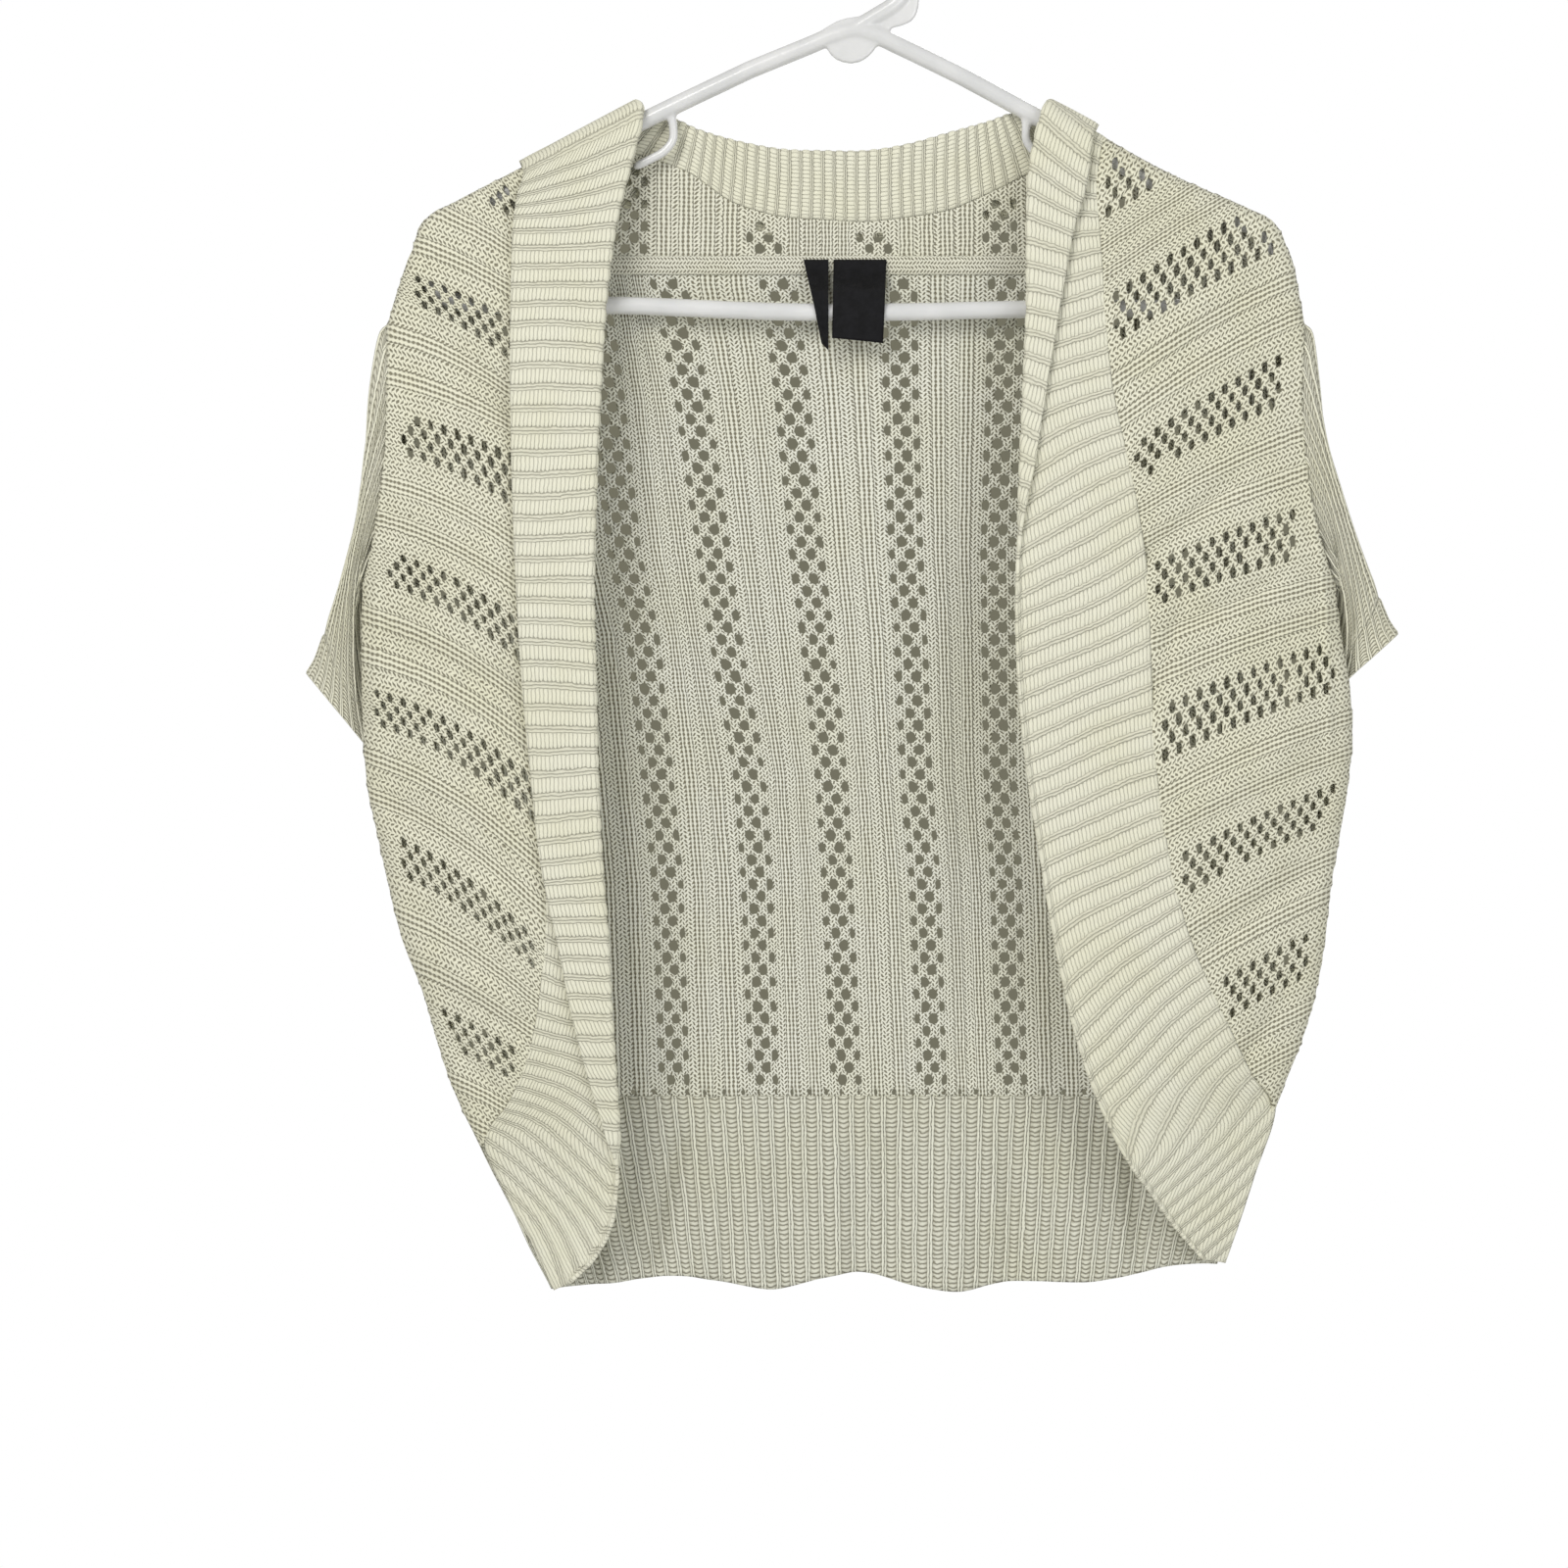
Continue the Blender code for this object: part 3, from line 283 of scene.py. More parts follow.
# ----------------------------------------------------------------------------- the band
def over_arm(arm, xs, radii, angle):
    """Seam, fold and edge of the band on an arm; angle 0 is on top, -90 the front, 90 the back."""
    out = []
    for x, r in zip(xs, radii):
        c, n = arm_frame(arm, np.array([float(x)]))
        s, k = math.sin(math.radians(angle)), math.cos(math.radians(angle))
        out.append([c[0, 0] + n[0, 0] * r * k, s * r, c[0, 1] + n[0, 1] * r * k])
    return out


def band_stations():
    rows = []
    for xs, zs, xf, zf, xe, ze in BAND_LEFT:
        rows.append(front_station(xs, zs, xf, zf, xe, ze, "left"))
    radii = (ROLL, ROLL + 0.6, ROLL + 0.5 * (LACE_T + RIB_T) + 1.0)
    left_cross = [len(rows) + i for i in range(3)]
    for angle in (-60, 0, 60):
        rows.append(over_arm(ARM_LEFT, CROSS_LEFT, radii, angle))
    for xs, zs, xf, zf, xe, ze in COLLAR:
        s, f, e = hull([xs, xf, xe], [zs, zf, ze], 1)
        f = f + np.array([0, 1.0, 0])
        e = e + np.array([0, 2 * FOLD_R + 1.0, 0])
        rows.append([s, f, e])
    right_cross = [len(rows) + i for i in range(3)]
    for angle in (60, 0, -60):
        rows.append(over_arm(ARM_RIGHT, CROSS_RIGHT, (ROLL, ROLL + 0.6, ROLL + 2 * FOLD_R + 0.4), angle))
    for xs, zs, xf, zf, xe, ze in BAND_RIGHT:
        rows.append(front_station(xs, zs, xf, zf, xe, ze, "right"))
    return np.array(rows, float), left_cross, right_cross


def front_station(xs, zs, xf, zf, xe, ze, side):
    out = side_x(np.array([zs]), side)[0]
    sgn = 1 if side == "left" else -1
    if (xs - out) * sgn < 3.0:
        xs = out + sgn * 0.35
    s, f, e = hull([xs, xf, xe], [zs, zf, ze], -1)
    f = f - np.array([0, 1.5, 0])
    e = e - np.array([0, 1.5 + LAPEL_LIFT, 0])
    return [s, f, e]


STATIONS, LEFT_CROSS, RIGHT_CROSS = band_stations()
KNOTS = chord_knots(STATIONS.reshape(len(STATIONS), 9) / math.sqrt(3))


def band_lines(t):
    """Seam, fold and free edge of the band at t along it."""
    v = hermite(KNOTS, STATIONS.reshape(len(STATIONS), 9), t)
    return v[:, 0:3], v[:, 3:6], v[:, 6:9]


def band_section(t, n_leg, n_bend, n_lapel, start=0.0):
    """Points across the band at each t: out along its inner leg, round the fold, back to the free edge."""
    t = np.atleast_1d(np.asarray(t, float))
    s, f, e = band_lines(t)
    s2, f2, _ = band_lines(np.minimum(t + 0.5, KNOTS[-1]))
    s1, f1, _ = band_lines(np.maximum(t - 0.5, 0))
    along = unit((s2 + f2) - (s1 + f1))
    leg = f - s
    length = np.linalg.norm(leg, axis=1)
    u = unit(leg)
    out = -unit(np.cross(along, u))
    lapel = np.linalg.norm(e - f, axis=1)
    fold = np.clip((lapel - 1.5) / 6.0, 0, 1)
    fold = fold * fold * (3 - 2 * fold)
    spare = 4.0 * (1 - fold)
    rows = []
    for i in range(len(t)):
        theta = math.pi * fold[i]
        bend_len = theta * FOLD_R
        centre = f[i] + out[i] * FOLD_R

        def bend(w):
            a = w / FOLD_R
            return centre + FOLD_R * (math.sin(a) * u[i] - math.cos(a) * out[i])
        end = bend(bend_len)
        ahead = math.cos(theta) * u[i] + math.sin(theta) * out[i]
        tip = e[i] * fold[i] + (end + ahead * max(lapel[i], 1.0)) * (1 - fold[i])
        lapel_len = np.linalg.norm(tip - end)
        cuts = [start, length[i] - spare[i], length[i] - spare[i] * 0.5 + bend_len, length[i] + bend_len + lapel_len]
        ws = np.concatenate([np.linspace(cuts[0], cuts[1], n_leg + 1), np.linspace(cuts[1], cuts[2], n_bend + 1)[1:],
                             np.linspace(cuts[2], cuts[3], n_lapel + 1)[1:]])
        line = []
        for w in ws:
            if w <= length[i]:
                line.append(s[i] + u[i] * w)
            elif w <= length[i] + bend_len:
                line.append(bend(w - length[i]))
            else:
                line.append(end + (tip - end) * ((w - length[i] - bend_len) / max(lapel_len, 1e-9)))
        rows.append(line)
    return np.array(rows)


def knots_where(zs, lo, hi):
    """Places along the band, between stations lo and hi, where its seam is at each height."""
    t = np.linspace(KNOTS[lo], KNOTS[hi], 4000)
    z = band_lines(t)[0][:, 2]
    return np.array([t[np.argmin(np.abs(z - h))] for h in zs])


TIP = {"left": (-203.0, -166.5), "right": (199.5, -168.5)}

def hem_wave(x, z):
    y = np.zeros_like(x)
    for cx, half, deep, up in HEM_FOLDS:
        rise = np.clip((HEM_SEAM_Z - 90 + up - z) / up, 0, 1)
        y -= deep * np.exp(-((x - cx) / half) ** 2) * rise * rise * (3 - 2 * rise)
    return y


# ----------------------------------------------------------------------------- sleeves
def sleeve_ring(side):
    """The sleeve's head, just inside the armhole's edge: down the front of it, then up the back."""
    sgn = 1 if side == "left" else -1
    zs = [-232, -250, -268, -287, -306, -325]
    pts = [(ARMHOLE_TOP_Z - 2.2, 0.0, -1)]
    pts += [(z, armhole_in(z, ARMHOLE_IN_FRONT) - (1.6 if z > -320 else 2.8), -1) for z in zs]
    pts += [(ARMHOLE_FOOT_Z + 3.4, 0.0, -1)]
    pts += [(z, armhole_in(z, ARMHOLE_IN_BACK) - (1.7 if z > -320 else 3.0), 1) for z in zs[::-1]]
    ring = []
    for z, d, f in pts:
        x = side_x(np.array([float(z)]), side)[0] + sgn * d
        y = hull_y(np.array([x]), np.array([float(z)]), f, np.array([float(d)]))[0] if d > 0 else 0.0
        ring.append((x, y, z))
    return np.array(ring)


def sleeve_end(side, n):
    c = CUFF_END[side]
    o, i = np.array(c["outer"], float), np.array(c["inner"], float)
    mid, axis = (o + i) / 2, (o - i) / 2
    front = np.array([0, -1.0, 0]) * c["half"]
    a = 2 * np.pi * np.arange(n) / n
    ca, sa = np.cos(a), np.sin(a)
    soft = np.sign(sa) * np.abs(sa) ** 0.8
    return mid + ca[:, None] * axis + soft[:, None] * front


def sleeve_grid(side, shares):
    a = sleeve_ring(side)
    sgn = 1 if side == "left" else -1
    deep = (a[:, 0] - side_x(a[:, 2], side)) * sgn
    away = unit(np.stack([-sgn * np.maximum(ROLL - deep, 0), a[:, 1], np.zeros(len(a))], 1))
    n = len(a)
    b = sleeve_end(side, n)
    pull = np.array(CUFF_END[side]["pull"], float)
    k = np.arange(n) / n * 4
    i = np.floor(k).astype(int) % 4
    s = (k - np.floor(k))[:, None]
    s = s * s * (3 - 2 * s)
    c = pull[i] * (1 - s) + pull[(i + 1) % 4] * s
    rows = []
    for share, gap in shares:
        # a cuff's seam is opened more at its inner corner, where it runs steeply
        t = share + gap * (0.7 - 0.3 * np.cos(2 * np.pi * np.arange(n) / n))[:, None]
        r = (1 - t) ** 2 * a + 2 * t * (1 - t) * c + t * t * b
        # it leaves the armhole square to the body
        start = min(1.0, share / 0.22)
        r = (a + away * 5.0 * start) * (1 - start) + r * start
        if share < 1:
            even = 0.5 * np.clip((share - 0.1) / 0.2, 0, 1)
            r = r * (1 - even) + 0.5 * even * (np.roll(r, 1, 0) + np.roll(r, -1, 0))
        rows.append(clear_of_body(r, side, share))
    return np.array(rows)


def clear_of_body(ring, side, t):
    """Moves a ring of the sleeve out of the body's side, square to it."""
    sgn = 1 if side == "left" else -1
    room = ((LACE_T + RIB_T) / 2 + 1.0) * min(1.0, t / 0.1) + 2.4 * np.clip((t - 0.1) / 0.3, 0, 1)
    out = ring.copy()
    for i, (x, y, z) in enumerate(ring):
        edge = side_x(np.array([z]), side)[0]
        deep = (x - edge) * sgn
        if z > ARMHOLE_FOOT_Z + 2 and deep < armhole_in(z, ARMHOLE_IN_BACK) - 1:
            r = math.hypot(ROLL - deep, y)
            if deep < ROLL and r < ROLL + min(room, CUFF_END[side]["off"]):
                k = (ROLL + min(room, CUFF_END[side]["off"])) / max(r, 1e-6)
                out[i] = (edge + sgn * (ROLL - (ROLL - deep) * k), y * k, z)
        elif deep < ROLL:
            r = math.hypot(ROLL - deep, y)
            if r < ROLL + room:
                k = (ROLL + room) / max(r, 1e-6)
                out[i] = (edge + sgn * (ROLL - (ROLL - deep) * k), y * k, z)
        else:
            out[i, 1] = max(y, hull_y(x, z, 1)[0] + room)
    return out


# ----------------------------------------------------------------------------- labels
def label_grid(spec, cols, twist):
    back = hull_y(0.0, -188.0, 1)[0] - LACE_T / 2 - 0.35 - 1.2 - 0.35 - LABEL_T / 2 - 0.3
    front = -TUBE_R - 0.5 - LABEL_T / 2
    rows = [(-185.5, 0.0), (-191, 0.12), (-197, 0.5), (-202.5, 0.9), (-206, 1.0), (-211, 1.02), (-217, 0.98), (None, 0.9)]
    tl, tr = spec["top"]
    fl, fr = spec["foot"]
    grid = []
    for z, share in rows:
        line = []
        for j in range(cols):
            u = j / (cols - 1)
            z_foot = spec["z"][0] + (spec["z"][1] - spec["z"][0]) * u
            zz = z_foot if z is None else z
            v = (-185.5 - zz) / (-185.5 - z_foot)
            x = (tl + (tr - tl) * u) * (1 - v) + (fl + (fr - fl) * u) * v
            y = back + (front - back) * share - twist * max(0.0, v - 0.66) * (u - 0.5) * 3
            line.append((x, y, zz))
        grid.append(line)
    return np.array(grid)



# ----------------------------------------------------------------------------- working on fine meshes
rng = np.random.default_rng(11)


def inset(x, z):
    """Distance in from the outline, worked out in blocks."""
    p = np.stack([np.ravel(x), np.ravel(z)], 1)
    a, ab = OUTLINE[:-1], np.diff(OUTLINE, axis=0)
    ab2 = np.maximum((ab ** 2).sum(1), 1e-9)
    out = np.empty(len(p))
    for k in range(0, len(p), 3000):
        d = p[k:k + 3000, None] - a[None]
        t = np.clip((d * ab[None]).sum(2) / ab2, 0, 1)
        out[k:k + 3000] = np.sqrt(((d - t[..., None] * ab[None]) ** 2).sum(2).min(1))
    return out.reshape(np.shape(x))


RIDGE = OUTLINE[OUTLINE[:, 1] > -183]
RIDGE = RIDGE[np.argsort(RIDGE[:, 0])]


def inside_by(x, z):
    """Distance inside the outline, negative outside it."""
    ridge = np.interp(x, RIDGE[:, 0], RIDGE[:, 1], left=-999, right=-999)
    low = (x > side_x(z, "left")) & (x < side_x(z, "right"))
    ok = np.where(z > -182, z < ridge, low)
    return inset(x, z) * np.where(ok, 1.0, -1.0)


def smooth01(t):
    t = np.clip(t, 0, 1)
    return t * t * (3 - 2 * t)


def creases(x, z, rows):
    """Soft troughs and ridges: each from x0, z0 to x1, z1, with a half width and a height."""
    h = np.zeros(np.shape(x))
    for x0, z0, x1, z1, half, high in rows:
        dx, dz = x1 - x0, z1 - z0
        n2 = dx * dx + dz * dz
        t = ((x - x0) * dx + (z - z0) * dz) / n2
        d = np.abs((x - x0) * dz - (z - z0) * dx) / math.sqrt(n2)
        h += high * np.exp(-(d / half) ** 2) * smooth01(t * 3 + 0.5) * smooth01((1 - t) * 3 + 0.5)
    return h


RING = np.array([(-1, -1), (-1, 0), (-1, 1), (0, 1), (1, 1), (1, 0), (1, -1), (0, -1)])


def lattice(na, nb, holes, sizes):
    """A net of na by nb cells as points (a, b, rim) and triangles. Each hole takes the four cells round
    its centre; its size is a half height, a half width and a lean, in cells."""
    i, j = np.meshgrid(np.arange(na + 1), np.arange(nb + 1), indexing="ij")
    pts = np.stack([i.ravel(), j.ravel(), np.zeros(i.size)], 1).astype(float)
    alive = np.ones((na, nb), bool)
    for a, b in holes:
        alive[a - 1:a + 1, b - 1:b + 1] = False
    ci, cj = np.nonzero(alive)
    q = np.stack([ci * (nb + 1) + cj, (ci + 1) * (nb + 1) + cj, (ci + 1) * (nb + 1) + cj + 1, ci * (nb + 1) + cj + 1], 1)
    odd = (ci + cj) % 2 == 1
    tris = [q[~odd][:, [0, 1, 2]], q[~odd][:, [0, 2, 3]], q[odd][:, [0, 1, 3]], q[odd][:, [1, 2, 3]]]
    if len(holes):
        h, s = np.array(holes), np.array(sizes)
        around = h[:, None] + RING[None]
        outer = around[..., 0] * (nb + 1) + around[..., 1]
        k = np.where(np.abs(RING).sum(1) == 2, 0.76, 1.0)
        da = RING[None, :, 0] * k[None] * s[:, :1]
        db = RING[None, :, 1] * k[None] * s[:, 1:2] + da * s[:, 2:3]
        ring = np.stack([h[:, :1] + da, h[:, 1:] + db, np.ones_like(da)], 2).reshape(-1, 3)
        inner = len(pts) + np.arange(len(h) * 8).reshape(-1, 8)
        pts = np.concatenate([pts, ring])
        o1, i1 = np.roll(outer, -1, 1), np.roll(inner, -1, 1)
        tris += [np.stack([outer, inner, i1], 2).reshape(-1, 3), np.stack([outer, i1, o1], 2).reshape(-1, 3)]
    return pts, np.concatenate(tris)


def clip(att, tri, col):
    """Cuts a mesh where column col of its points is below zero. Every column is carried to the cut."""
    f = att[:, col].copy()
    f[np.abs(f) < 0.22] = 0.0
    att[:, col] = f
    good = f >= 0
    count = good[tri].sum(1)
    keep = [tri[count == 3]]
    new = []
    n = len(att)
    part = tri[(count == 1) | (count == 2)]
    if len(part):
        g = good[part]
        lone = np.where(g.sum(1) == 1, np.argmax(g, 1), np.argmin(g, 1))
        r = np.arange(len(part))
        o, k1, k2 = part[r, lone], part[r, (lone + 1) % 3], part[r, (lone + 2) % 3]
        edge = np.concatenate([np.stack([o, k1], 1), np.stack([o, k2], 1)])
        low, high = edge.min(1), edge.max(1)
        keys, where = np.unique(low.astype(np.int64) * n + high, return_inverse=True)
        a, b = (keys // n).astype(int), (keys % n).astype(int)
        t = (f[a] / (f[a] - f[b]))[:, None]
        new = att[a] * (1 - t) + att[b] * t
        new[:, col] = 0.0
        p1, p2 = n + where[:len(part)], n + where[len(part):]
        one = g.sum(1) == 1
        keep.append(np.stack([o, p1, p2], 1)[one])
        keep.append(np.stack([p1, k1, k2], 1)[~one])
        keep.append(np.stack([p1, k2, p2], 1)[~one])
        att = np.concatenate([att, new])
    tri = np.concatenate(keep)
    used = np.zeros(len(att), bool)
    used[tri.ravel()] = True
    index = np.cumsum(used) - 1
    return att[used], index[tri]


def point_normals(v, tri):
    e = v[tri]
    fn = np.cross(e[:, 1] - e[:, 0], e[:, 2] - e[:, 0])
    out = np.zeros_like(v)
    for k in range(3):
        for c in range(3):
            out[:, c] += np.bincount(tri[:, k], fn[:, c], len(v))
    return unit(out)


def grid_tris(r, c, ring=False):
    i, j = np.meshgrid(np.arange(r - 1), np.arange(c if ring else c - 1), indexing="ij")
    i, j = i.ravel(), j.ravel()
    k = (j + 1) % c
    q = np.stack([i * c + j, i * c + k, (i + 1) * c + k, (i + 1) * c + j], 1)
    return np.concatenate([q[:, [0, 1, 2]], q[:, [0, 2, 3]]])


def make_object(name, v, tri, uv, zone, mat):
    me = bpy.data.meshes.new(name)
    me.vertices.add(len(v))
    me.vertices.foreach_set("co", (v * 0.001).astype(np.float32).ravel())
    me.loops.add(len(tri) * 3)
    me.loops.foreach_set("vertex_index", tri.astype(np.int32).ravel())
    me.polygons.add(len(tri))
    me.polygons.foreach_set("loop_start", np.arange(0, len(tri) * 3, 3, dtype=np.int32))
    me.update(calc_edges=True)
    for layer, data in (("stitch", uv), ("zone", zone)):
        me.uv_layers.new(name=layer)
        me.uv_layers[layer].data.foreach_set("uv", data[tri.ravel()].astype(np.float32).ravel())
    me.validate()
    me.materials.append(mat)
    me.shade_smooth()
    ob = bpy.data.objects.new(name, me)
    bpy.context.scene.collection.objects.link(ob)
    return ob


TRIANGLES = {}


def wall(name, v, tri, thick, uv, zone, mat, lift=0.0, under=0.0, towards=None, edge=0.55, facing=None):
    """A closed wall on a fine mesh: thickness, height added on the seen side and on the other."""
    nor = point_normals(v, tri)
    if facing is not None and (nor @ np.array(facing)).mean() < 0:
        tri, nor = tri[:, ::-1], -nor
    n = len(v)
    t = np.broadcast_to(np.asarray(thick, float), n).copy()
    lift, under = np.broadcast_to(lift, n).copy(), np.broadcast_to(under, n).copy()
    e = np.concatenate([tri[:, [0, 1]], tri[:, [1, 2]], tri[:, [2, 0]]])
    key = e.min(1).astype(np.int64) * n + e.max(1)
    _, first, count = np.unique(key, return_index=True, return_counts=True)
    rim = e[first[count == 1]]
    ends = np.unique(rim)
    t[ends] *= edge
    lift[ends] *= 0.4
    under[ends] *= 0.4
    outer, inner = v + nor * (t / 2 + lift)[:, None], v - nor * (t / 2 + under)[:, None]
    p, q = rim[:, 0], rim[:, 1]
    tris = np.concatenate([tri, tri[:, ::-1] + n, np.stack([q, p, p + n], 1), np.stack([q, p + n, q + n], 1)])
    TRIANGLES[name] = len(tris)
    return make_object(name, np.concatenate([outer, inner]), tris, np.concatenate([uv, uv]), np.concatenate([zone, zone]), mat)


# ----------------------------------------------------------------------------- materials
class Nodes:
    def __init__(self, name):
        self.mat = bpy.data.materials.new(name)
        self.mat.use_nodes = True
        self.tree = self.mat.node_tree
        self.bsdf = self.tree.nodes["Principled BSDF"]

    def link(self, a, b):
        self.tree.links.new(a, b)

    def add(self, kind, **props):
        n = self.tree.nodes.new(kind)
        for k, v in props.items():
            setattr(n, k, v)
        return n

    def math(self, op, *vals, clamp=False):
        n = self.add("ShaderNodeMath", operation=op, use_clamp=clamp)
        for i, v in enumerate(vals):
            if hasattr(v, "links"):
                self.link(v, n.inputs[i])
            else:
                n.inputs[i].default_value = v
        return n.outputs[0]

    def uv(self, layer):
        n = self.add("ShaderNodeUVMap", uv_map=layer)
        s = self.add("ShaderNodeSeparateXYZ")
        self.link(n.outputs[0], s.inputs[0])
        return n.outputs[0], s.outputs[0], s.outputs[1]

    def noise(self, vec, scale, detail=2.0, rough=0.5):
        n = self.add("ShaderNodeTexNoise")
        n.inputs["Scale"].default_value = scale
        n.inputs["Detail"].default_value = detail
        n.inputs["Roughness"].default_value = rough
        if vec is not None:
            self.link(vec, n.inputs["Vector"])
        return n.outputs[0]

    def span(self, val, a, b, lo=0.0, hi=1.0, smooth=True):
        n = self.add("ShaderNodeMapRange", interpolation_type="SMOOTHSTEP" if smooth else "LINEAR")
        self.link(val, n.inputs[0])
        for i, x in enumerate((a, b, lo, hi)):
            n.inputs[i + 1].default_value = x
        return n.outputs[0]

    def mix(self, fac, a, b, blend="MIX"):
        n = self.add("ShaderNodeMix", data_type="RGBA", blend_type=blend)
        if hasattr(fac, "links"):
            self.link(fac, n.inputs[0])
        else:
            n.inputs[0].default_value = fac
        for k, v in ((6, a), (7, b)):
            if hasattr(v, "links"):
                self.link(v, n.inputs[k])
            else:
                n.inputs[k].default_value = (*v, 1)
        return n.outputs[2]

    def bump(self, height, distance, strength=1.0, normal=None):
        n = self.add("ShaderNodeBump")
        n.inputs["Strength"].default_value = strength
        n.inputs["Distance"].default_value = distance
        self.link(height, n.inputs["Height"])
        if normal is not None:
            self.link(normal, n.inputs["Normal"])
        return n.outputs[0]


YARN = (0.83, 0.815, 0.655)
YARN_WARM = (0.93, 0.92, 0.80)
# the shade in the knit's gaps, pinholes and rib grooves, painted into the colour
YARN_GAP_SHADE = (0.20, 0.178, 0.108)


def knit_material(name, tone, deep, kind, cords=()):
    """Acrylic knit. 'jersey' is a light net of V stitches with a dark pinhole at each crossing, and
    groups of three fine cords in each repeat; 'band' has broad ribs of upright loops with two fine lines
    between them; 'hem' has narrow chains with ladders of bars between them."""
    m = Nodes(name)
    _, u, v = m.uv("stitch")
    _, zx, groove_shade = m.uv("zone")
    geo = m.add("ShaderNodeTexCoord").outputs["Object"]
    wob = m.math("ADD", m.math("SUBTRACT", m.noise(geo, 420.0, 2.0), 0.5), m.math("SUBTRACT", m.noise(geo, 110.0, 2.0), 0.5))
    u = m.math("ADD", u, m.math("MULTIPLY", wob, 0.45))
    v = m.math("ADD", v, m.math("MULTIPLY", wob, 0.6))

    def wave(x):
        return m.math("ABSOLUTE", m.math("SINE", m.math("MULTIPLY", x, math.pi)))

    def net(a, b):
        # light everywhere but where both waves are low
        return m.math("SUBTRACT", 1.0, m.math("MULTIPLY", m.math("SUBTRACT", 1.0, a), m.math("SUBTRACT", 1.0, b)))

    def blend(a, b, on):
        return m.math("ADD", m.math("MULTIPLY", a, m.math("SUBTRACT", 1.0, on)), m.math("MULTIPLY", b, on))
    f = m.math("FRACT", m.math("ADD", zx, m.math("MULTIPLY", wob, 0.0 if kind == "jersey" else 0.13)))
    if kind == "jersey":
        # in every second wale the pinholes lie half a stitch higher, and lean the other way
        turn = m.math("FRACT", m.math("MULTIPLY", m.math("FLOOR", u), 0.5))
        lean = m.math("MULTIPLY", m.math("SUBTRACT", m.math("FRACT", u), 0.5), m.math("SUBTRACT", m.math("MULTIPLY", turn, 3.2), 0.8))
        strand = wave(m.math("ADD", m.math("ADD", v, turn), lean))
        h = m.math("MULTIPLY", net(strand, wave(m.math("ADD", u, 0.5))), m.span(strand, 0.0, 0.6, 0.84, 1.0))
        for at, half in cords:
            x = m.math("DIVIDE", m.math("SUBTRACT", f, at - half), 2 * half / 3.0)
            on = m.math("MULTIPLY", m.span(f, at - half * 1.05, at - half * 0.95), m.span(f, at + half * 0.95, at + half * 1.05, 1.0, 0.0))
            h = blend(h, net(wave(x), m.math("MULTIPLY", wave(v), 0.70)), on)
        dark = m.span(h, 0.48, 0.98)
    elif kind == "band":
        share = 0.68
        loops = m.math("ADD", 0.46, m.math("MULTIPLY", m.math("POWER", wave(u), 0.8), 0.54))
        edge = m.math("MULTIPLY", m.span(m.math("ADD", f, m.math("MULTIPLY", wave(u), 0.05)), 0.0, 0.11), 1.0)
        broad = m.math("MULTIPLY", loops, m.math("ADD", 0.25, m.math("MULTIPLY", edge, 0.75)))
        g = m.math("DIVIDE", m.math("SUBTRACT", f, share), 1 - share)
        lines = m.math("ADD", 0.30, m.math("MULTIPLY", wave(m.math("MULTIPLY", g, 2.0)), 0.6))
        h = blend(broad, lines, m.math("GREATER_THAN", f, share))
        dark = m.span(h, 0.0, 0.9)
    else:
        share = 0.38
        cords_ = m.math("POWER", wave(m.math("MULTIPLY", f, 2.0 / share)), 0.7)
        chain = m.math("ADD", m.math("MULTIPLY", net(cords_, m.math("MULTIPLY", wave(v), 0.6)), 0.5), m.math("MULTIPLY", cords_, 0.5))
        g = m.math("DIVIDE", m.math("SUBTRACT", f, share), 1 - share)
        bow = wave(g)
        bar = m.math("POWER", wave(m.math("ADD", v, m.math("MULTIPLY", bow, 0.3))), 0.8)
        ladder = m.math("MULTIPLY", m.math("ADD", 0.26, m.math("MULTIPLY", bar, 0.64)), m.math("ADD", 0.62, m.math("MULTIPLY", bow, 0.38)))
        h = blend(chain, ladder, m.math("GREATER_THAN", f, share))
        dark = m.span(h, 0.05, 0.9)
    fuzz = m.noise(geo, 2600.0, 3.0, 0.6)
    soft = m.noise(geo, 26.0, 3.0, 0.55)
    # the stitch pattern's pinholes, gaps and fine lines are darkened: painted shade in them, drawn with the knit's
    # pattern
    col = m.mix(m.math("MULTIPLY", m.math("SUBTRACT", 1.0, dark), deep), tone, YARN_GAP_SHADE)
    # darker in the ribs' grooves, by the rib height in zone.y: painted shade in the recesses
    col = m.mix(m.math("MULTIPLY", m.math("SUBTRACT", 1.0, groove_shade), 0.20), col, YARN_GAP_SHADE)
    col = m.mix(m.span(soft, 0.35, 0.7, 0.0, 0.35), col, YARN_WARM, "MULTIPLY")
    col = m.mix(m.span(fuzz, 0.3, 0.75, 0.0, 0.10), col, (1.0, 1.0, 0.96))
    m.link(col, m.bsdf.inputs["Base Color"])
    height = m.math("ADD", m.math("MULTIPLY", dark, 1.0), m.math("MULTIPLY", fuzz, 0.28))
    m.link(m.bump(height, 0.0009, 0.95), m.bsdf.inputs["Normal"])
    m.link(m.span(fuzz, 0.2, 0.8, 0.86, 0.98), m.bsdf.inputs["Roughness"])
    m.bsdf.inputs["Specular IOR Level"].default_value = 0.22
    m.bsdf.inputs["Sheen Weight"].default_value = 0.22
    m.bsdf.inputs["Sheen Roughness"].default_value = 0.5
    m.bsdf.inputs["Sheen Tint"].default_value = (1.0, 0.98, 0.9, 1)
    return m.mat


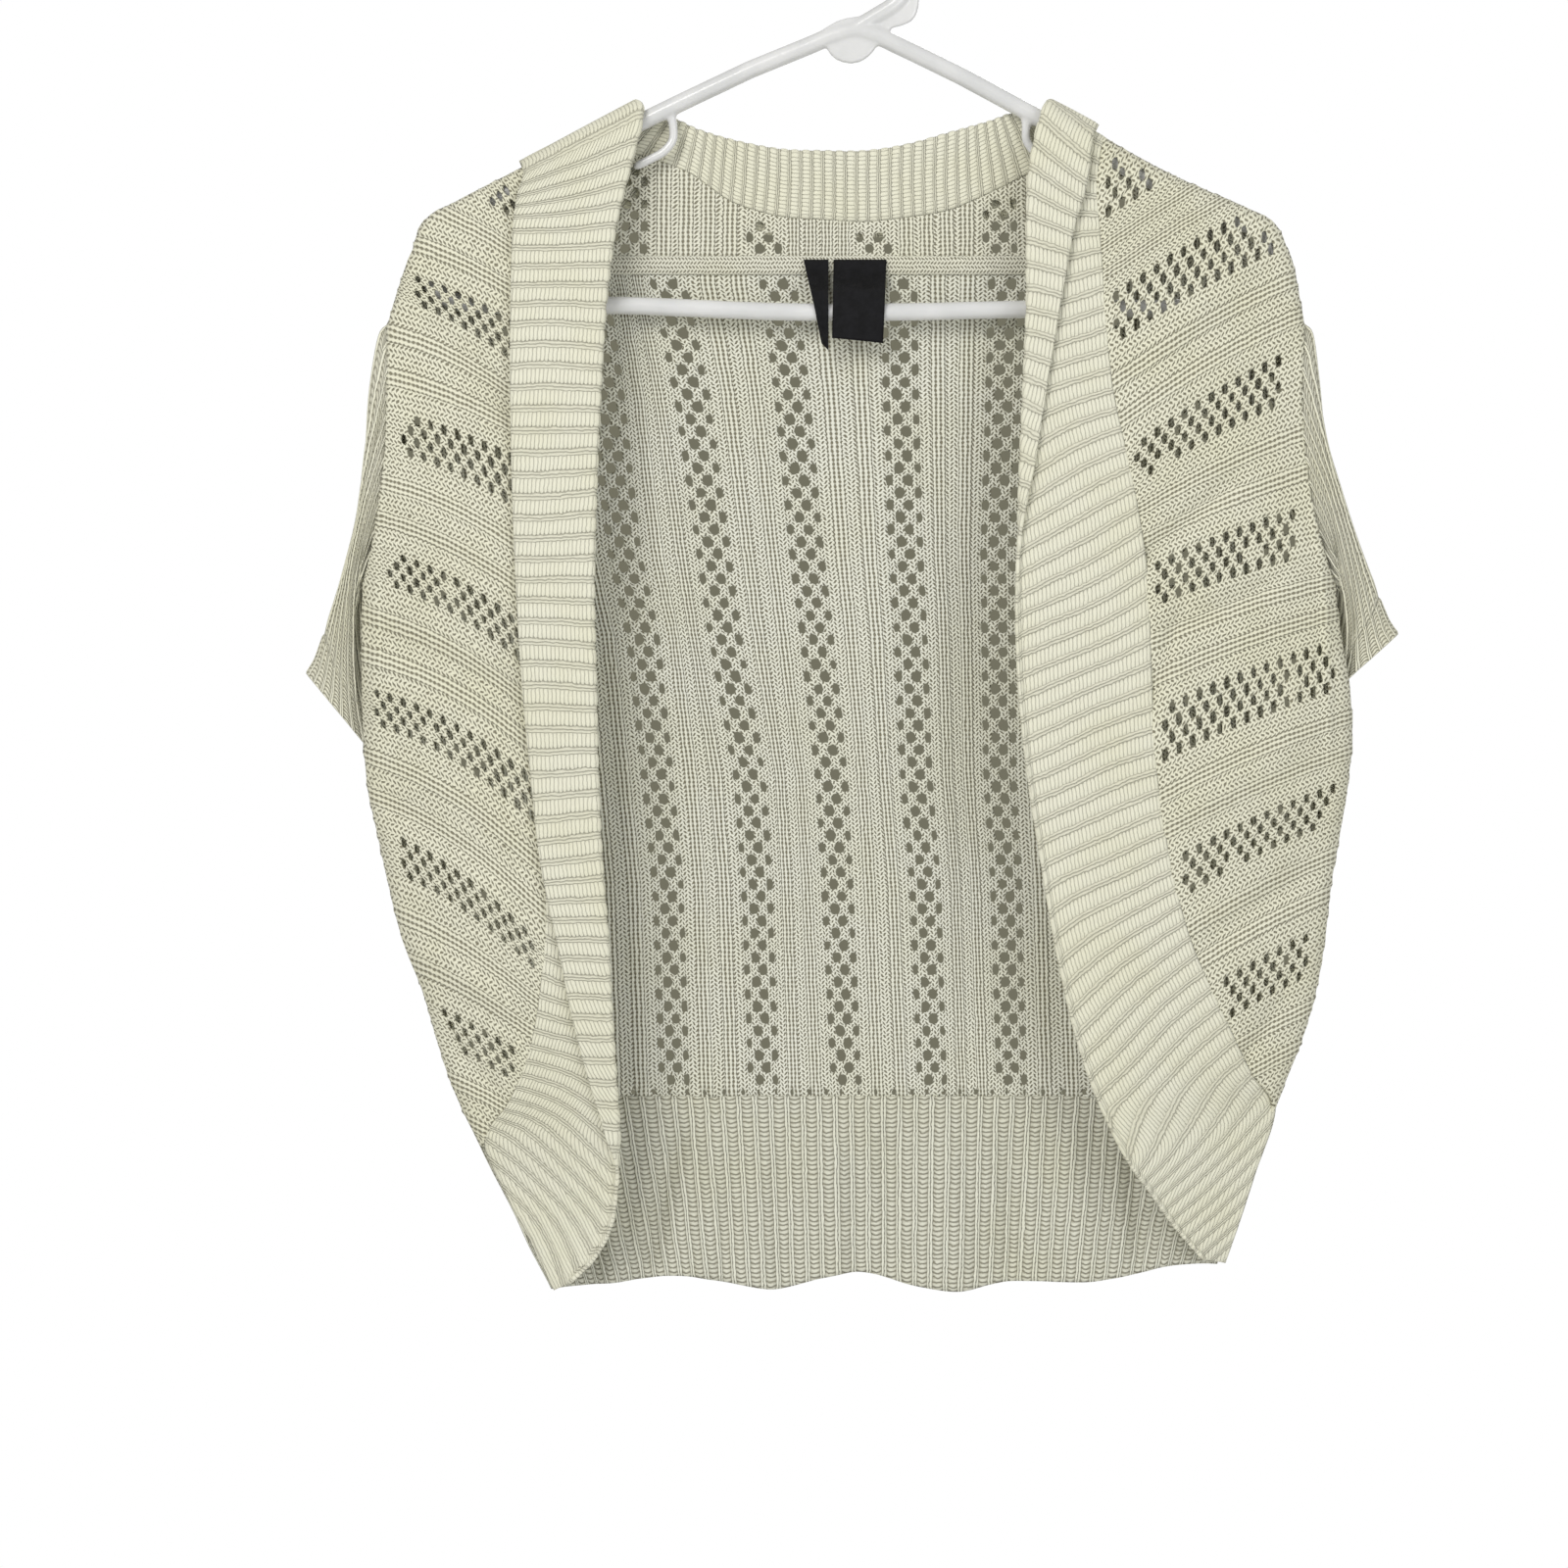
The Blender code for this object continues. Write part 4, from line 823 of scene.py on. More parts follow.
def plastic_material():
    m = Nodes("hanger_plastic")
    geo = m.add("ShaderNodeTexCoord").outputs["Object"]
    cloud = m.noise(geo, 40.0, 3.0)
    col = m.mix(m.span(cloud, 0.3, 0.7), (0.69, 0.695, 0.70), (0.77, 0.77, 0.775))
    m.link(col, m.bsdf.inputs["Base Color"])
    m.link(m.span(m.noise(geo, 300.0, 3.0), 0.3, 0.7, 0.16, 0.27), m.bsdf.inputs["Roughness"])
    m.link(m.bump(m.noise(geo, 160.0, 2.0), 0.0003, 0.25), m.bsdf.inputs["Normal"])
    m.bsdf.inputs["Subsurface Weight"].default_value = 0.25
    m.bsdf.inputs["Subsurface Radius"].default_value = (0.004, 0.004, 0.0045)
    m.bsdf.inputs["Coat Weight"].default_value = 0.35
    m.bsdf.inputs["Coat Roughness"].default_value = 0.12
    return m.mat


def label_material():
    m = Nodes("label_satin")
    _, u, v = m.uv("stitch")
    weave = m.math("MULTIPLY", m.math("SINE", m.math("MULTIPLY", u, 26.0)), m.math("SINE", m.math("MULTIPLY", v, 26.0)))
    geo = m.add("ShaderNodeTexCoord").outputs["Object"]
    col = m.mix(m.span(m.noise(geo, 180.0, 3.0), 0.3, 0.7), (0.0035, 0.0035, 0.0045), (0.007, 0.007, 0.009))
    m.link(col, m.bsdf.inputs["Base Color"])
    m.link(m.bump(weave, 0.0001, 0.4), m.bsdf.inputs["Normal"])
    m.link(m.span(m.noise(geo, 500.0, 2.0), 0.3, 0.7, 0.50, 0.66), m.bsdf.inputs["Roughness"])
    m.bsdf.inputs["Specular IOR Level"].default_value = 0.18
    return m.mat


# the repeat across a front, in its 24 cells, and across the back, in its 20: cord groups at, half width
FRONT_CORDS = ((13.2 / 24, 1.30 / 24), (19.3 / 24, 1.30 / 24))
BACK_CORDS = ((7.4 / 20, 1.32 / 20), (12.6 / 20, 1.32 / 20))
LACE = knit_material("lace_front_knit", YARN, 0.95, "jersey", FRONT_CORDS)
LACE_BACK = knit_material("lace_back_knit", (0.83, 0.83, 0.725), 1.0, "jersey", BACK_CORDS)
PLAIN = knit_material("plain_knit", (0.805, 0.795, 0.675), 0.92, "jersey")
RIB = knit_material("rib_knit_band", (0.825, 0.812, 0.67), 0.40, "band")
YOKE = knit_material("lace_yoke_knit", (0.815, 0.805, 0.68), 0.95, "jersey", [(at / 24, 1.2 / 24) for at in (6.6, 10.2, 13.8, 17.4)])
RIB_HEM = knit_material("rib_knit_hem", (0.81, 0.81, 0.695), 1.0, "hem")
# the sleeves' and cuffs' rib: the same yarn made lighter than the body's, painted light lifting their shade
RIB_SLEEVE_PAINTED_LIGHT = knit_material("rib_knit_sleeve_painted_light", (0.90, 0.885, 0.735), 0.90, "hem")
PLASTIC = plastic_material()
LABEL = label_material()

BUILT = {}


def place(ob, node):
    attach(ob, "root")
    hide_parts(node)
    BUILT[node] = ob


# ----------------------------------------------------------------------------- lace fronts
# stripes of eyelets, from the shoulder down: cell of the stripe's top edge, then the heights of its
# top and bottom edges at the outer and at the inner reference line
STRIPES_LEFT = [
    (0, -123, -148, -140, -167), (24, -191.3, -215.7, -205, -236), (48, -259.4, -279.7, -279.7, -305),
    (72, -326.7, -355.3, -344.5, -375.5), (96, -395.3, -424.9, -413, -446), (120, -461.5, -498.2, -481, -515.1),
    (144, -536.3, -561.2, -555.5, -578.7),
]
STRIPES_RIGHT = [
    (0, -86, -127, -115, -155), (24, -150, -191.3, -178.6, -218), (48, -226.6, -270.5, -252.7, -291.1),
    (72, -304, -332.8, -330, -354.9), (96, -372.8, -402.8, -398.5, -431), (120, -442.2, -478.7, -462, -502),
    (144, -508.6, -553.2, -531, -575.6),
]
FRONT_CREASES = {
    "left": [
        (-208, -214, -160, -262, 7, -1.3), (-222, -298, -163, -332, 8, 1.1), (-230, -366, -158, -396, 9, -1.4),
        (-226, -446, -162, -480, 8, -1.1), (-207, -516, -158, -544, 6, 1.3), (-196, -556, -168, -588, 5, -1.1),
        (-223, -262, -227.5, -330, 1.5, 0.75), (-227.5, -330, -228.5, -418, 1.5, 0.85), (-186, -176, -160, -196, 5, 1.0),
    ],
    "right": [
        (182, -292, 131, -334, 5, -1.7), (200, -341, 148, -366, 5, -1.5), (156, -350, 141, -396, 4, -0.9),
        (214, -416, 150, -452, 8, 1.2), (217, -478, 164, -516, 7, -1.3), (206, -538, 184, -570, 5, -1.0),
        (190, -186, 140, -232, 7, 1.1), (205, -236, 150, -262, 6, -0.9), (216.5, -290, 224, -345, 1.5, 0.75),
        (224, -345, 226, -420, 1.5, 0.85),
    ],
}
FRONT_X = {"left": (-219.5, -164.5), "right": (215.0, 140.0)}


def front_height(a, x, side):
    rows = STRIPES_LEFT if side == "left" else STRIPES_RIGHT
    knots, outs, ins = [], [], []
    for start, t_out, t_in, b_out, b_in in rows:
        knots += [start, start + 8]
        outs += [t_out, b_out]
        ins += [t_in, b_in]
    knots, outs, ins = np.array(knots, float), np.array(outs, float), np.array(ins, float)
    knots = np.concatenate([[-24], knots, [176]])
    outs = np.concatenate([[outs[0] - (-70)], outs, [outs[-1] - 66]])
    ins = np.concatenate([[ins[0] + 70], ins, [ins[-1] - 66]])
    zo, zi = np.interp(a, knots, outs), np.interp(a, knots, ins)
    xo, xi = FRONT_X[side]
    p = (x - xo) / (xi - xo)
    if side == "left":
        w = np.where(p < 0, 0.6 * p, np.where(p > 1, 1 + 1.4 * (p - 1), 0.6 * p + 0.4 * p * p))
    else:
        # from the inner line out: steep by the band and flatter by the side
        q = 1 - p
        w = 1 - np.where(q < 0, 1.25 * q, np.where(q > 1, 1 + 0.75 * (q - 1), 1.25 * q - 0.25 * q * q))
    return zo + (zi - zo) * w


def seam_line(lo, hi):
    t = np.linspace(KNOTS[lo], KNOTS[hi], 900)
    return band_lines(t)[0]


def make_front(side):
    left = side == "left"
    sgn = 1 if left else -1
    dx = 1.62
    nb, na, first = 90 if left else 92, 200, 24
    x0 = -246.0 if left else 246.0
    seam = seam_line(0, LEFT_CROSS[1]) if left else seam_line(RIGHT_CROSS[1], len(STATIONS) - 1)
    order = np.argsort(seam[:, 2])
    sz, sx = seam[order, 2], seam[order, 0]
    holes, sizes = [], []
    for start in range(0, 168, 24):
        for row in range(4):
            a = start + 1 + 2 * row
            for b in range(3 + 2 * (row % 2), nb - 1, 4):
                x = x0 + sgn * dx * b
                z = front_height(np.array([a]), np.array([x]), side)[0]
                edge = side_x(np.array([z]), side)[0]
                by_arm = armhole_in(np.array([z]), ARMHOLE_IN_FRONT)[0] if ARMHOLE_FOOT_Z < z < ARMHOLE_TOP_Z else 0.0
                if (x - edge) * sgn - by_arm < 7.5 + 2.0 * math.sin(z * 0.05) or z < -586:
                    continue
                if inside_by(np.array([x]), np.array([z]))[0] < 6.5 or (np.interp(z, sz, sx) - x) * sgn < 3.2:
                    continue
                if rng.random() < 0.02:
                    continue
                k = rng.uniform(0.90, 1.1)
                holes.append((first + a, b))
                sizes.append((min(0.96, 0.93 * k), min(0.94, 0.90 * k), sgn * 0.16 + rng.uniform(-0.08, 0.08)))
    pts, tri = lattice(na, nb, holes, sizes)
    a, b = pts[:, 0] - first, pts[:, 1]
    x = x0 + sgn * dx * b + rng.normal(0, 0.13, len(a))
    z = front_height(a, x, side) + rng.normal(0, 0.16, len(a))
    seam_x = np.interp(z, sz, sx)
    arm = np.where((z < ARMHOLE_TOP_Z) & (z > ARMHOLE_FOOT_Z), armhole_in(z, ARMHOLE_IN_FRONT) - 2.2, -30)
    att = np.stack([a, b, pts[:, 2], x, z, inside_by(x, z), (seam_x + sgn * 1.6 - x) * sgn, z + 611.0,
                    (x - side_x(z, side)) * sgn - arm], 1)
    for col in (5, 6, 7, 8):
        att, tri = clip(att, tri, col)
    a, b, rim, x, z, d, to_seam, _, to_arm = att.T
    d = np.maximum(d, 0)
    y = hull_y(x, z, -1, d)
    y = np.minimum(y, -0.75)
    h = 2.3 * creases(x, z, FRONT_CREASES[side]) * smooth01(d / 6)
    h += 0.35 * np.sin(a * 2 * np.pi / 24 + 0.8) * smooth01(d / 6)
    # the front's edge is tucked under the band, and stands as a ridge over the sleeve's
    h += 0.6 * np.exp(-((to_arm - 1.4) / 1.4) ** 2) - 0.7 * (1 - smooth01(to_seam / 2.2))
    y = y - h
    rep = (a / 24.0) % 1.0
    cord = sum(np.exp(-((rep - at) / half) ** 2) for at, half in FRONT_CORDS)
    v = np.stack([x, y, z], 1)
    t = np.where(rim > 0.5, 1.25, 1.75)
    uv = np.stack([a * 2.87 / 2.25, x / 2.15], 1)
    ob = wall("front_" + side + "_knit", v, tri, t, uv, np.stack([a / 24.0, np.ones_like(rep)], 1), LACE,
              lift=0.3 * cord, under=0.0, facing=(0, -1, 0))
    place(ob, "front_" + side)


# ----------------------------------------------------------------------------- back
# the five eyelet columns of the back: height, then the place of each
COLUMNS = [
    (-170, -134, -91, -37.5, 21.0, 74.5), (-197, -127, -89.5, -36.5, 21.5, 73.5), (-249, -119.5, -78.5, -30.0, 22.5, 72.0),
    (-325, -111, -68, -23, 25, 69.5), (-366, -102.0, -62.5, -18.0, 27.5, 70), (-433, -95, -50.5, -11, 30, 70.5),
    (-485, -90, -47, -8, 34.5, 73.5), (-590, -86.5, -43.5, -3.5, 38, 76.5),
]
BACK_CREASES = [
    (-88, -205, -96, -420, 12, 1.1), (-28, -260, -38, -560, 15, -1.2), (18, -215, 10, -430, 13, 1.0),
    (58, -330, 52, -580, 13, -1.3), (96, -230, 104, -470, 14, 1.1), (-150, -240, -138, -520, 15, -1.2),
    (-190, -380, -160, -560, 11, 1.0), (160, -260, 146, -520, 15, -1.2), (198, -400, 170, -570, 11, 1.0),
    (-60, -450, -70, -585, 10, 1.0), (120, -470, 116, -586, 9, 1.0),
]


def column_x(a, z, table, first, per, half, beyond, zig=0.0):
    """x of cell line a at height z, with an eyelet column in the middle of each repeat of per cells."""
    tab = np.array(table, float)
    xs = [np.interp(-z, -tab[:, 0], tab[:, 1 + k]) for k in range(tab.shape[1] - 1)]
    n_out = 5
    xs = [xs[0] - beyond * (n_out - k) for k in range(n_out)] + xs + [xs[-1] + beyond * (k + 1) for k in range(n_out)]
    xs = np.array(xs)
    s = a / per + first + n_out
    k = np.clip(np.round(s).astype(int), 0, len(xs) - 1)
    r = (s - k) * per
    idx = np.arange(len(a))
    here = xs[k, idx]
    other = xs[np.clip(k + np.where(r < 0, -1, 1), 0, len(xs) - 1), idx]
    gap = np.abs(other - here)
    e = half(z)
    e = half(z)
    cell_out = (gap / 2 - e) / (per / 2 - 4.0)
    m = np.abs(r)
    off = np.where(m <= 4, e * np.interp(m, [0, 1, 2, 3, 4], [0, 0.27, 0.54, 0.79, 1.0]), e + (m - 4) * cell_out)
    # the two inner rows of eyelets lie in one another's gaps
    return here + np.sign(r) * off + zig * np.exp(-(r / 1.4) ** 2)


def make_back():
    per, z_top, z_foot, nb = 20, -188.0, -589.4, 136
    first = -3
    na = per * 11
    step = (z_foot - z_top) / nb

    def half(z):
        return np.interp(-z, [188, 590], [9.4, 7.6])
    holes, sizes = [], []
    for k in range(0, 12):
        mid = k * per
        for sub, off in enumerate((-3, -1, 1, 3)):
            a = mid + off
            if a < 1 or a > na - 1:
                continue
            for b in range(3 + 2 * (sub % 2), nb - 2, 4):
                z = z_top + step * b
                x = column_x(np.array([float(a)]), np.array([z]), COLUMNS, first, per, half, 45.0)[0]
                if x - side_x(np.array([z]), "left")[0] < 14 or side_x(np.array([z]), "right")[0] - x < 14 or z < -581:
                    continue
                s = rng.uniform(0.88, 1.08)
                inner = off in (-1, 1)
                holes.append((a, b))
                sizes.append((min(0.96, (0.96 if inner else 0.90) * s), min(0.97, (0.97 if inner else 0.90) * s),
                              rng.uniform(-0.12, 0.12)))
    for a in range(3, na - 2, 4):
        if (a % per) in (3, 7, 11, 15, 19):
            holes.append((a, nb - 1))
            sizes.append((0.42, 0.5, 0.0))
    pts, tri = lattice(na, nb, holes, sizes)
    a, b = pts[:, 0], pts[:, 1]
    free = (b > 0.01) & (b < nb - 0.01)
    z = z_top + step * b + rng.normal(0, 0.16, len(a)) * free
    zig = -0.95 * np.cos((b - 3) * np.pi / 2)
    x = column_x(a, z, COLUMNS, first, per, half, 45.0, zig) + rng.normal(0, 0.14, len(a))
    xl, xr = side_x(z, "left"), side_x(z, "right")
    arm = np.where((z < ARMHOLE_TOP_Z) & (z > ARMHOLE_FOOT_Z), armhole_in(z, ARMHOLE_IN_BACK), -30)
    att = np.stack([a, b, pts[:, 2], x, z, inside_by(x, z), x - xl - arm, xr - x - arm], 1)
    for col in (5, 6, 7):
        att, tri = clip(att, tri, col)
    a, b, rim, x, z, d = att[:, :6].T
    d = np.maximum(d, 0)
    y = np.maximum(hull_y(x, z, 1, d), 0.85) + hem_wave(x, z) + 0.7 * (1 - smooth01((z + 589.4) / 2.4))
    rep = (a / per) % 1.0
    y = y - 1.9 * creases(x, z, BACK_CREASES) * smooth01(d / 8) * smooth01((z_top - z) / 12)
    cord = sum(np.exp(-((rep - at) / half_) ** 2) for at, half_ in BACK_CORDS)
    v = np.stack([x, y, z], 1)
    t = np.where(rim > 0.5, 1.2, 1.8)
    uv = np.stack([a * 1.22, z / 2.1], 1)
    ob = wall("back_panel_knit", v, tri, t, uv, np.stack([a / per, np.ones_like(rep)], 1), LACE_BACK, lift=0.3 * cord,
              under=0.2 * cord, facing=(0, -1, 0))
    place(ob, "back_panel")


YOKE_COLUMNS = [(-80, -106, -42.8, 8.9, 69.0), (-190, -108.5, -43.5, 9.5, 70.5)]


def make_yoke():
    per, z_top, z_foot, nb = 24, -70.4, NECK_SEAM_Z + 0.1, 44
    na = per * 9
    first = -3
    step = (z_foot - z_top) / nb

    def half(z):
        return np.interp(-z, [120, 190], [8.0, 9.0])
    seam = seam_line(LEFT_CROSS[1], RIGHT_CROSS[1])
    fold = seam[np.argsort(seam[:, 0])]
    holes, sizes = [], []
    for k in range(0, 10):
        for sub, off in enumerate((-3, -1, 1, 3)):
            a = k * per + off
            if a < 1 or a > na - 1:
                continue
            for b in range(3 + 2 * (sub % 2), nb - 1, 4):
                z = z_top + step * b
                x = column_x(np.array([float(a)]), np.array([z]), YOKE_COLUMNS, first, per, half, 60.0)[0]
                if inside_by(np.array([x]), np.array([z]))[0] < 6.5 or np.interp(x, fold[:, 0], fold[:, 2]) - z < 5 or z < -183:
                    continue
                holes.append((a, b))
                s = rng.uniform(0.88, 1.08)
                sizes.append((min(0.95, 0.92 * s), min(0.96, 0.93 * s), rng.uniform(-0.1, 0.1)))
    pts, tri = lattice(na, nb, holes, sizes)
    a, b = pts[:, 0], pts[:, 1]
    free = b < nb - 0.01
    z = z_top + step * b + rng.normal(0, 0.15, len(a)) * free
    zig = -0.7 * np.cos((b - 3) * np.pi / 2)
    x = column_x(a, z, YOKE_COLUMNS, first, per, half, 60.0, zig) + rng.normal(0, 0.13, len(a))
    zs = np.interp(x, fold[:, 0], fold[:, 2], left=999, right=999)
    att = np.stack([a, b, pts[:, 2], x, z, inside_by(x, z), np.minimum(zs + 1.4 - z, 60)], 1)
    for col in (5, 6):
        att, tri = clip(att, tri, col)
    a, b, rim, x, z, d, to_seam = att.T
    d = np.maximum(d, 0)
    y = np.maximum(hull_y(x, z, 1, d), 0.75) + 0.7 * (1 - smooth01(to_seam / 2.2))
    rep = (a / per) % 1.0
    uv = np.stack([a * 1.15, z / 2.1], 1)
    ob = wall("back_yoke_knit", np.stack([x, y, z], 1), tri, np.where(rim > 0.5, 1.2, 1.7), uv,
              np.stack([a / per, np.ones_like(rep)], 1), YOKE, facing=(0, -1, 0))
    place(ob, "back_yoke")


def rib_profile(phase, share=0.68, mid=0.45, full=0.3):
    """Height of a rib across its repeat: a broad rib, then a groove with a fine line in it."""
    f = phase % 1.0
    top = np.sin(np.pi * np.clip(f / share, 0, 1)) ** full
    low = mid * np.sin(np.pi * np.clip((f - share) / (1 - share), 0, 1)) ** 2
    return np.where(f < share, top, low)


HEM_CREASES = [
    (-150, -596, -138, -668, 7, -1.6), (-122, -600, -116, -676, 7, 1.9), (-84, -606, -101, -674, 5.5, -2.4),
    (-66, -600, -72, -676, 7, 1.7), (-38, -620, -36, -678, 6, -1.5), (-12, -600, -8, -678, 8, 1.6),
    (16, -604, 20, -678, 6, -1.9), (44, -596, 46, -676, 8, 1.3), (74, -610, 78, -676, 6, -1.6),
    (104, -598, 108, -672, 7, 1.4), (134, -604, 138, -668, 6, -1.8), (158, -600, 152, -664, 6, 1.4),
]


def make_hem():
    top = HEM_SEAM_Z - GAP
    foot = np.array(HEM_FOOT, float)
    nx, nv = 504, 34
    s = np.linspace(-1, 1, nx)[None]
    v = np.linspace(0, 1, nv)
    zz = top + (-677 - top) * v
    xl, xr = side_x(zz, "left") + 0.02, side_x(zz, "right") - 0.02
    # the ribs hang upright, and only those by the sides lean in with them
    x = (xl[0] + xr[0]) / 2 + (xr[0] - xl[0]) / 2 * s + (xl - xl[0])[:, None] * ((1 - s) / 2) ** 5 \
        + (xr - xr[0])[:, None] * ((1 + s) / 2) ** 5
    z_foot = hermite(foot[:, 0], foot[:, 1:2], np.clip(x.ravel(), -160, 180))[:, 0].reshape(x.shape)
    z = top + (z_foot - top) * v[:, None]
    phase = (s + 1) / 2 * 378.0 / 7.5 + 0.0 * z
    d = inset(x, z) * np.where((x > side_x(z.ravel(), "left").reshape(x.shape)) & (x < side_x(z.ravel(), "right").reshape(x.shape)), 1, 0)
    y = hull_y(x.ravel(), z.ravel(), 1, d.ravel()).reshape(x.shape) + hem_wave(x, z)
    y = np.maximum(y, 0.9)
    fine = 0.9 * np.sin(x * 0.19 + 0.8) * v[:, None] ** 1.5 + 0.5 * np.sin(x * 0.41 + 2.0) * v[:, None] ** 2
    y = y + fine * smooth01(d / 10)
    y = y - 2.1 * creases(x, z, HEM_CREASES) * smooth01(v[:, None] * 3)
    h = rib_profile(phase, 0.38, 0.12, 0.6)
    edge = smooth01(np.minimum(v, 1 - v)[:, None] * 14)
    lift = (0.75 * (h - 0.4) * (0.35 + 0.65 * edge)).ravel()
    uv = np.stack([phase.ravel() * 4, (z / 2.25).ravel()], 1)
    # zone.y is the rib height, which darkens the grooves: painted shade
    zone = np.stack([phase.ravel(), (0.3 + 0.7 * h).ravel()], 1)
    ob = wall("back_hem_knit", np.stack([x, y, z], 2).reshape(-1, 3), grid_tris(nv, nx), 1.6, uv, zone, RIB_HEM,
              lift=lift, under=lift, facing=(0, -1, 0), edge=0.7)
    place(ob, "back_hem")


# ----------------------------------------------------------------------------- the ribbed band
def band_piece(name, t0, t1, pitch, shear, counts, node, wave, step=0.95, folded=False):
    """A length of the folded band with its ribs. shear is how far a rib runs along the band for each
    millimetre across it, by place along the band; counts are cells over leg, fold and lapel."""
    n = int((t1 - t0) / step)
    t = np.linspace(t0, t1, n)
    sec = band_section(t, *counts)
    w = np.concatenate([np.zeros((n, 1)), np.cumsum(np.linalg.norm(np.diff(sec, axis=1), axis=2), axis=1)], 1)
    lengths = np.linalg.norm(np.diff(sec[:, counts[0] // 2], axis=0), axis=1)
    run = np.concatenate([[0], np.cumsum(lengths)])
    pit = np.interp(t, [p[0] for p in pitch], [p[1] for p in pitch])
    base = np.concatenate([[0], np.cumsum(lengths / (0.5 * (pit[1:] + pit[:-1])))])
    sh = np.interp(t, [p[0] for p in shear], [p[1] for p in shear])
    wig = 0.12 * np.sin(run * 0.043 + 1.0)[:, None] * np.sin(w * 0.08)
    # the slant is the leg's own: past the fold the ribs run straight across
    across = np.minimum(w - w[:, [counts[0] + 3]], 0) if folded else w
    phase = base[:, None] + (across * sh[:, None]) / pit[:, None] + wig
    h = rib_profile(phase)
    c = sec.shape[1]
    share = np.linspace(0, 1, c)[None]
    ends = smooth01(np.minimum(w, w[:, -1:] - w) / 2.5)
    lift = (0.62 * (h - 0.5) * (0.3 + 0.7 * ends)).ravel()
    nor = point_normals(sec.reshape(-1, 3), grid_tris(n, c)).reshape(sec.shape)
    sec = sec + nor * wave(run, w, w[:, -1:], sec)[..., None]
    uv = np.stack([(w / 1.95).ravel(), (phase * 3.0).ravel()], 1)
    # zone.y is the rib height, which darkens the grooves: painted shade
    zone = np.stack([phase.ravel(), (0.2 + 0.8 * h).ravel()], 1)
    ob = wall(name, sec.reshape(-1, 3), grid_tris(n, c), 1.75, uv, zone, RIB, lift=lift, under=lift, edge=0.8)
    place(ob, node)
    return ob


def still(run, w, width, sec):
    return np.zeros(w.shape)


def lapel_wave(sign):
    def wave(run, w, width, sec):
        s = smooth01((w / width - 0.6) / 0.3)
        r = run[:, None]
        return sign * s * (0.55 * np.sin(r * 0.055 + 0.6) + 0.35 * np.sin(r * 0.127 + 2.0) + 0.3)
    return wave


def make_bands():
    k = KNOTS
    cut_l, cut_r = k[LEFT_CROSS[1]], k[RIGHT_CROSS[1]]
    # left: from the foot up. The ribs slant at the foot and lie almost level above it.
    shear_l = [(k[0], 1.05), (k[2], 1.0), (k[4], 0.85), (k[6], 0.62), (k[8], 0.36), (k[10], 0.15), (cut_l, 0.05)]
    band_piece("band_left_knit", k[0], cut_l - GAP, [(k[0], 10.0), (k[12], 10.2), (cut_l, 9.6)], shear_l, (24, 7, 18),
               "band_left", lapel_wave(0.6), folded=True)
    pitch = [(cut_l, 9.6), (k[LEFT_CROSS[2]], 7.5), (k[LEFT_CROSS[2] + 2], 5.5), (k[RIGHT_CROSS[0] - 2], 5.5),
             (k[RIGHT_CROSS[0]], 7.5), (cut_r, 9.6)]
    band_piece("collar_back_knit", cut_l + GAP, cut_r - GAP, pitch, [(cut_l, 0.0), (cut_r, 0.0)], (14, 7, 14),
               "collar_back", still, 0.62)
    lo, hi = RIGHT_CROSS[2], len(STATIONS) - 1
    shear_r = [(cut_r, -0.10), (k[lo + 3], -0.27), (k[lo + 6], -0.45), (k[lo + 9], -0.53), (k[lo + 12], -0.50), (k[hi - 3], -0.64),
               (k[hi], -1.2)]
    band_piece("band_right_knit", cut_r + GAP, k[hi], [(cut_r, 9.6), (k[lo + 5], 10.0), (k[hi], 9.4)], shear_r, (28, 7, 12),
               "band_right", still)


def make_tape():
    x = np.linspace(-176, 172, 190)
    zs = np.linspace(-183.5, -192.5, 9)
    xx, zz = np.meshgrid(x, zs)
    s = (zs[:, None] - zs.mean()) / (zs[0] - zs.mean())
    y = hull_y(xx.ravel(), zz.ravel(), 1).reshape(xx.shape) - LACE_T / 2 - 0.5 - 0.35 * (1 - s ** 2)
    y = y + 0.12 * np.sin(xx * 1.9) * (1 - s ** 2)
    uv = np.stack([(zz / 2.0).ravel(), (xx / 1.7).ravel()], 1)
    ob = wall("neck_tape_knit", np.stack([xx, y, zz], 2).reshape(-1, 3), grid_tris(len(zs), len(x)), 1.1, uv,
              np.stack([np.zeros(xx.size), np.ones(xx.size)], 1), PLAIN, facing=(0, -1, 0), edge=0.5)
    place(ob, "neck_tape")


# ----------------------------------------------------------------------------- sleeves
def dense_ring(rows, n_rows, n_cols, shares):
    """Smooth finer rows and columns through a coarse tube of rings."""
    r, c = rows.shape[:2]
    wrap = np.concatenate([rows[:, -3:], rows, rows[:, :4]], 1)
    kn = np.arange(wrap.shape[1]) - 3.0
    q = np.arange(n_cols) * c / n_cols
    fine = np.stack([hermite(kn, wrap[i], q) for i in range(r)])
    ks = np.asarray(shares, float)
    qs = np.linspace(ks[0], ks[-1], n_rows)
    return hermite(ks, fine.reshape(r, -1), qs).reshape(n_rows, n_cols, 3), qs


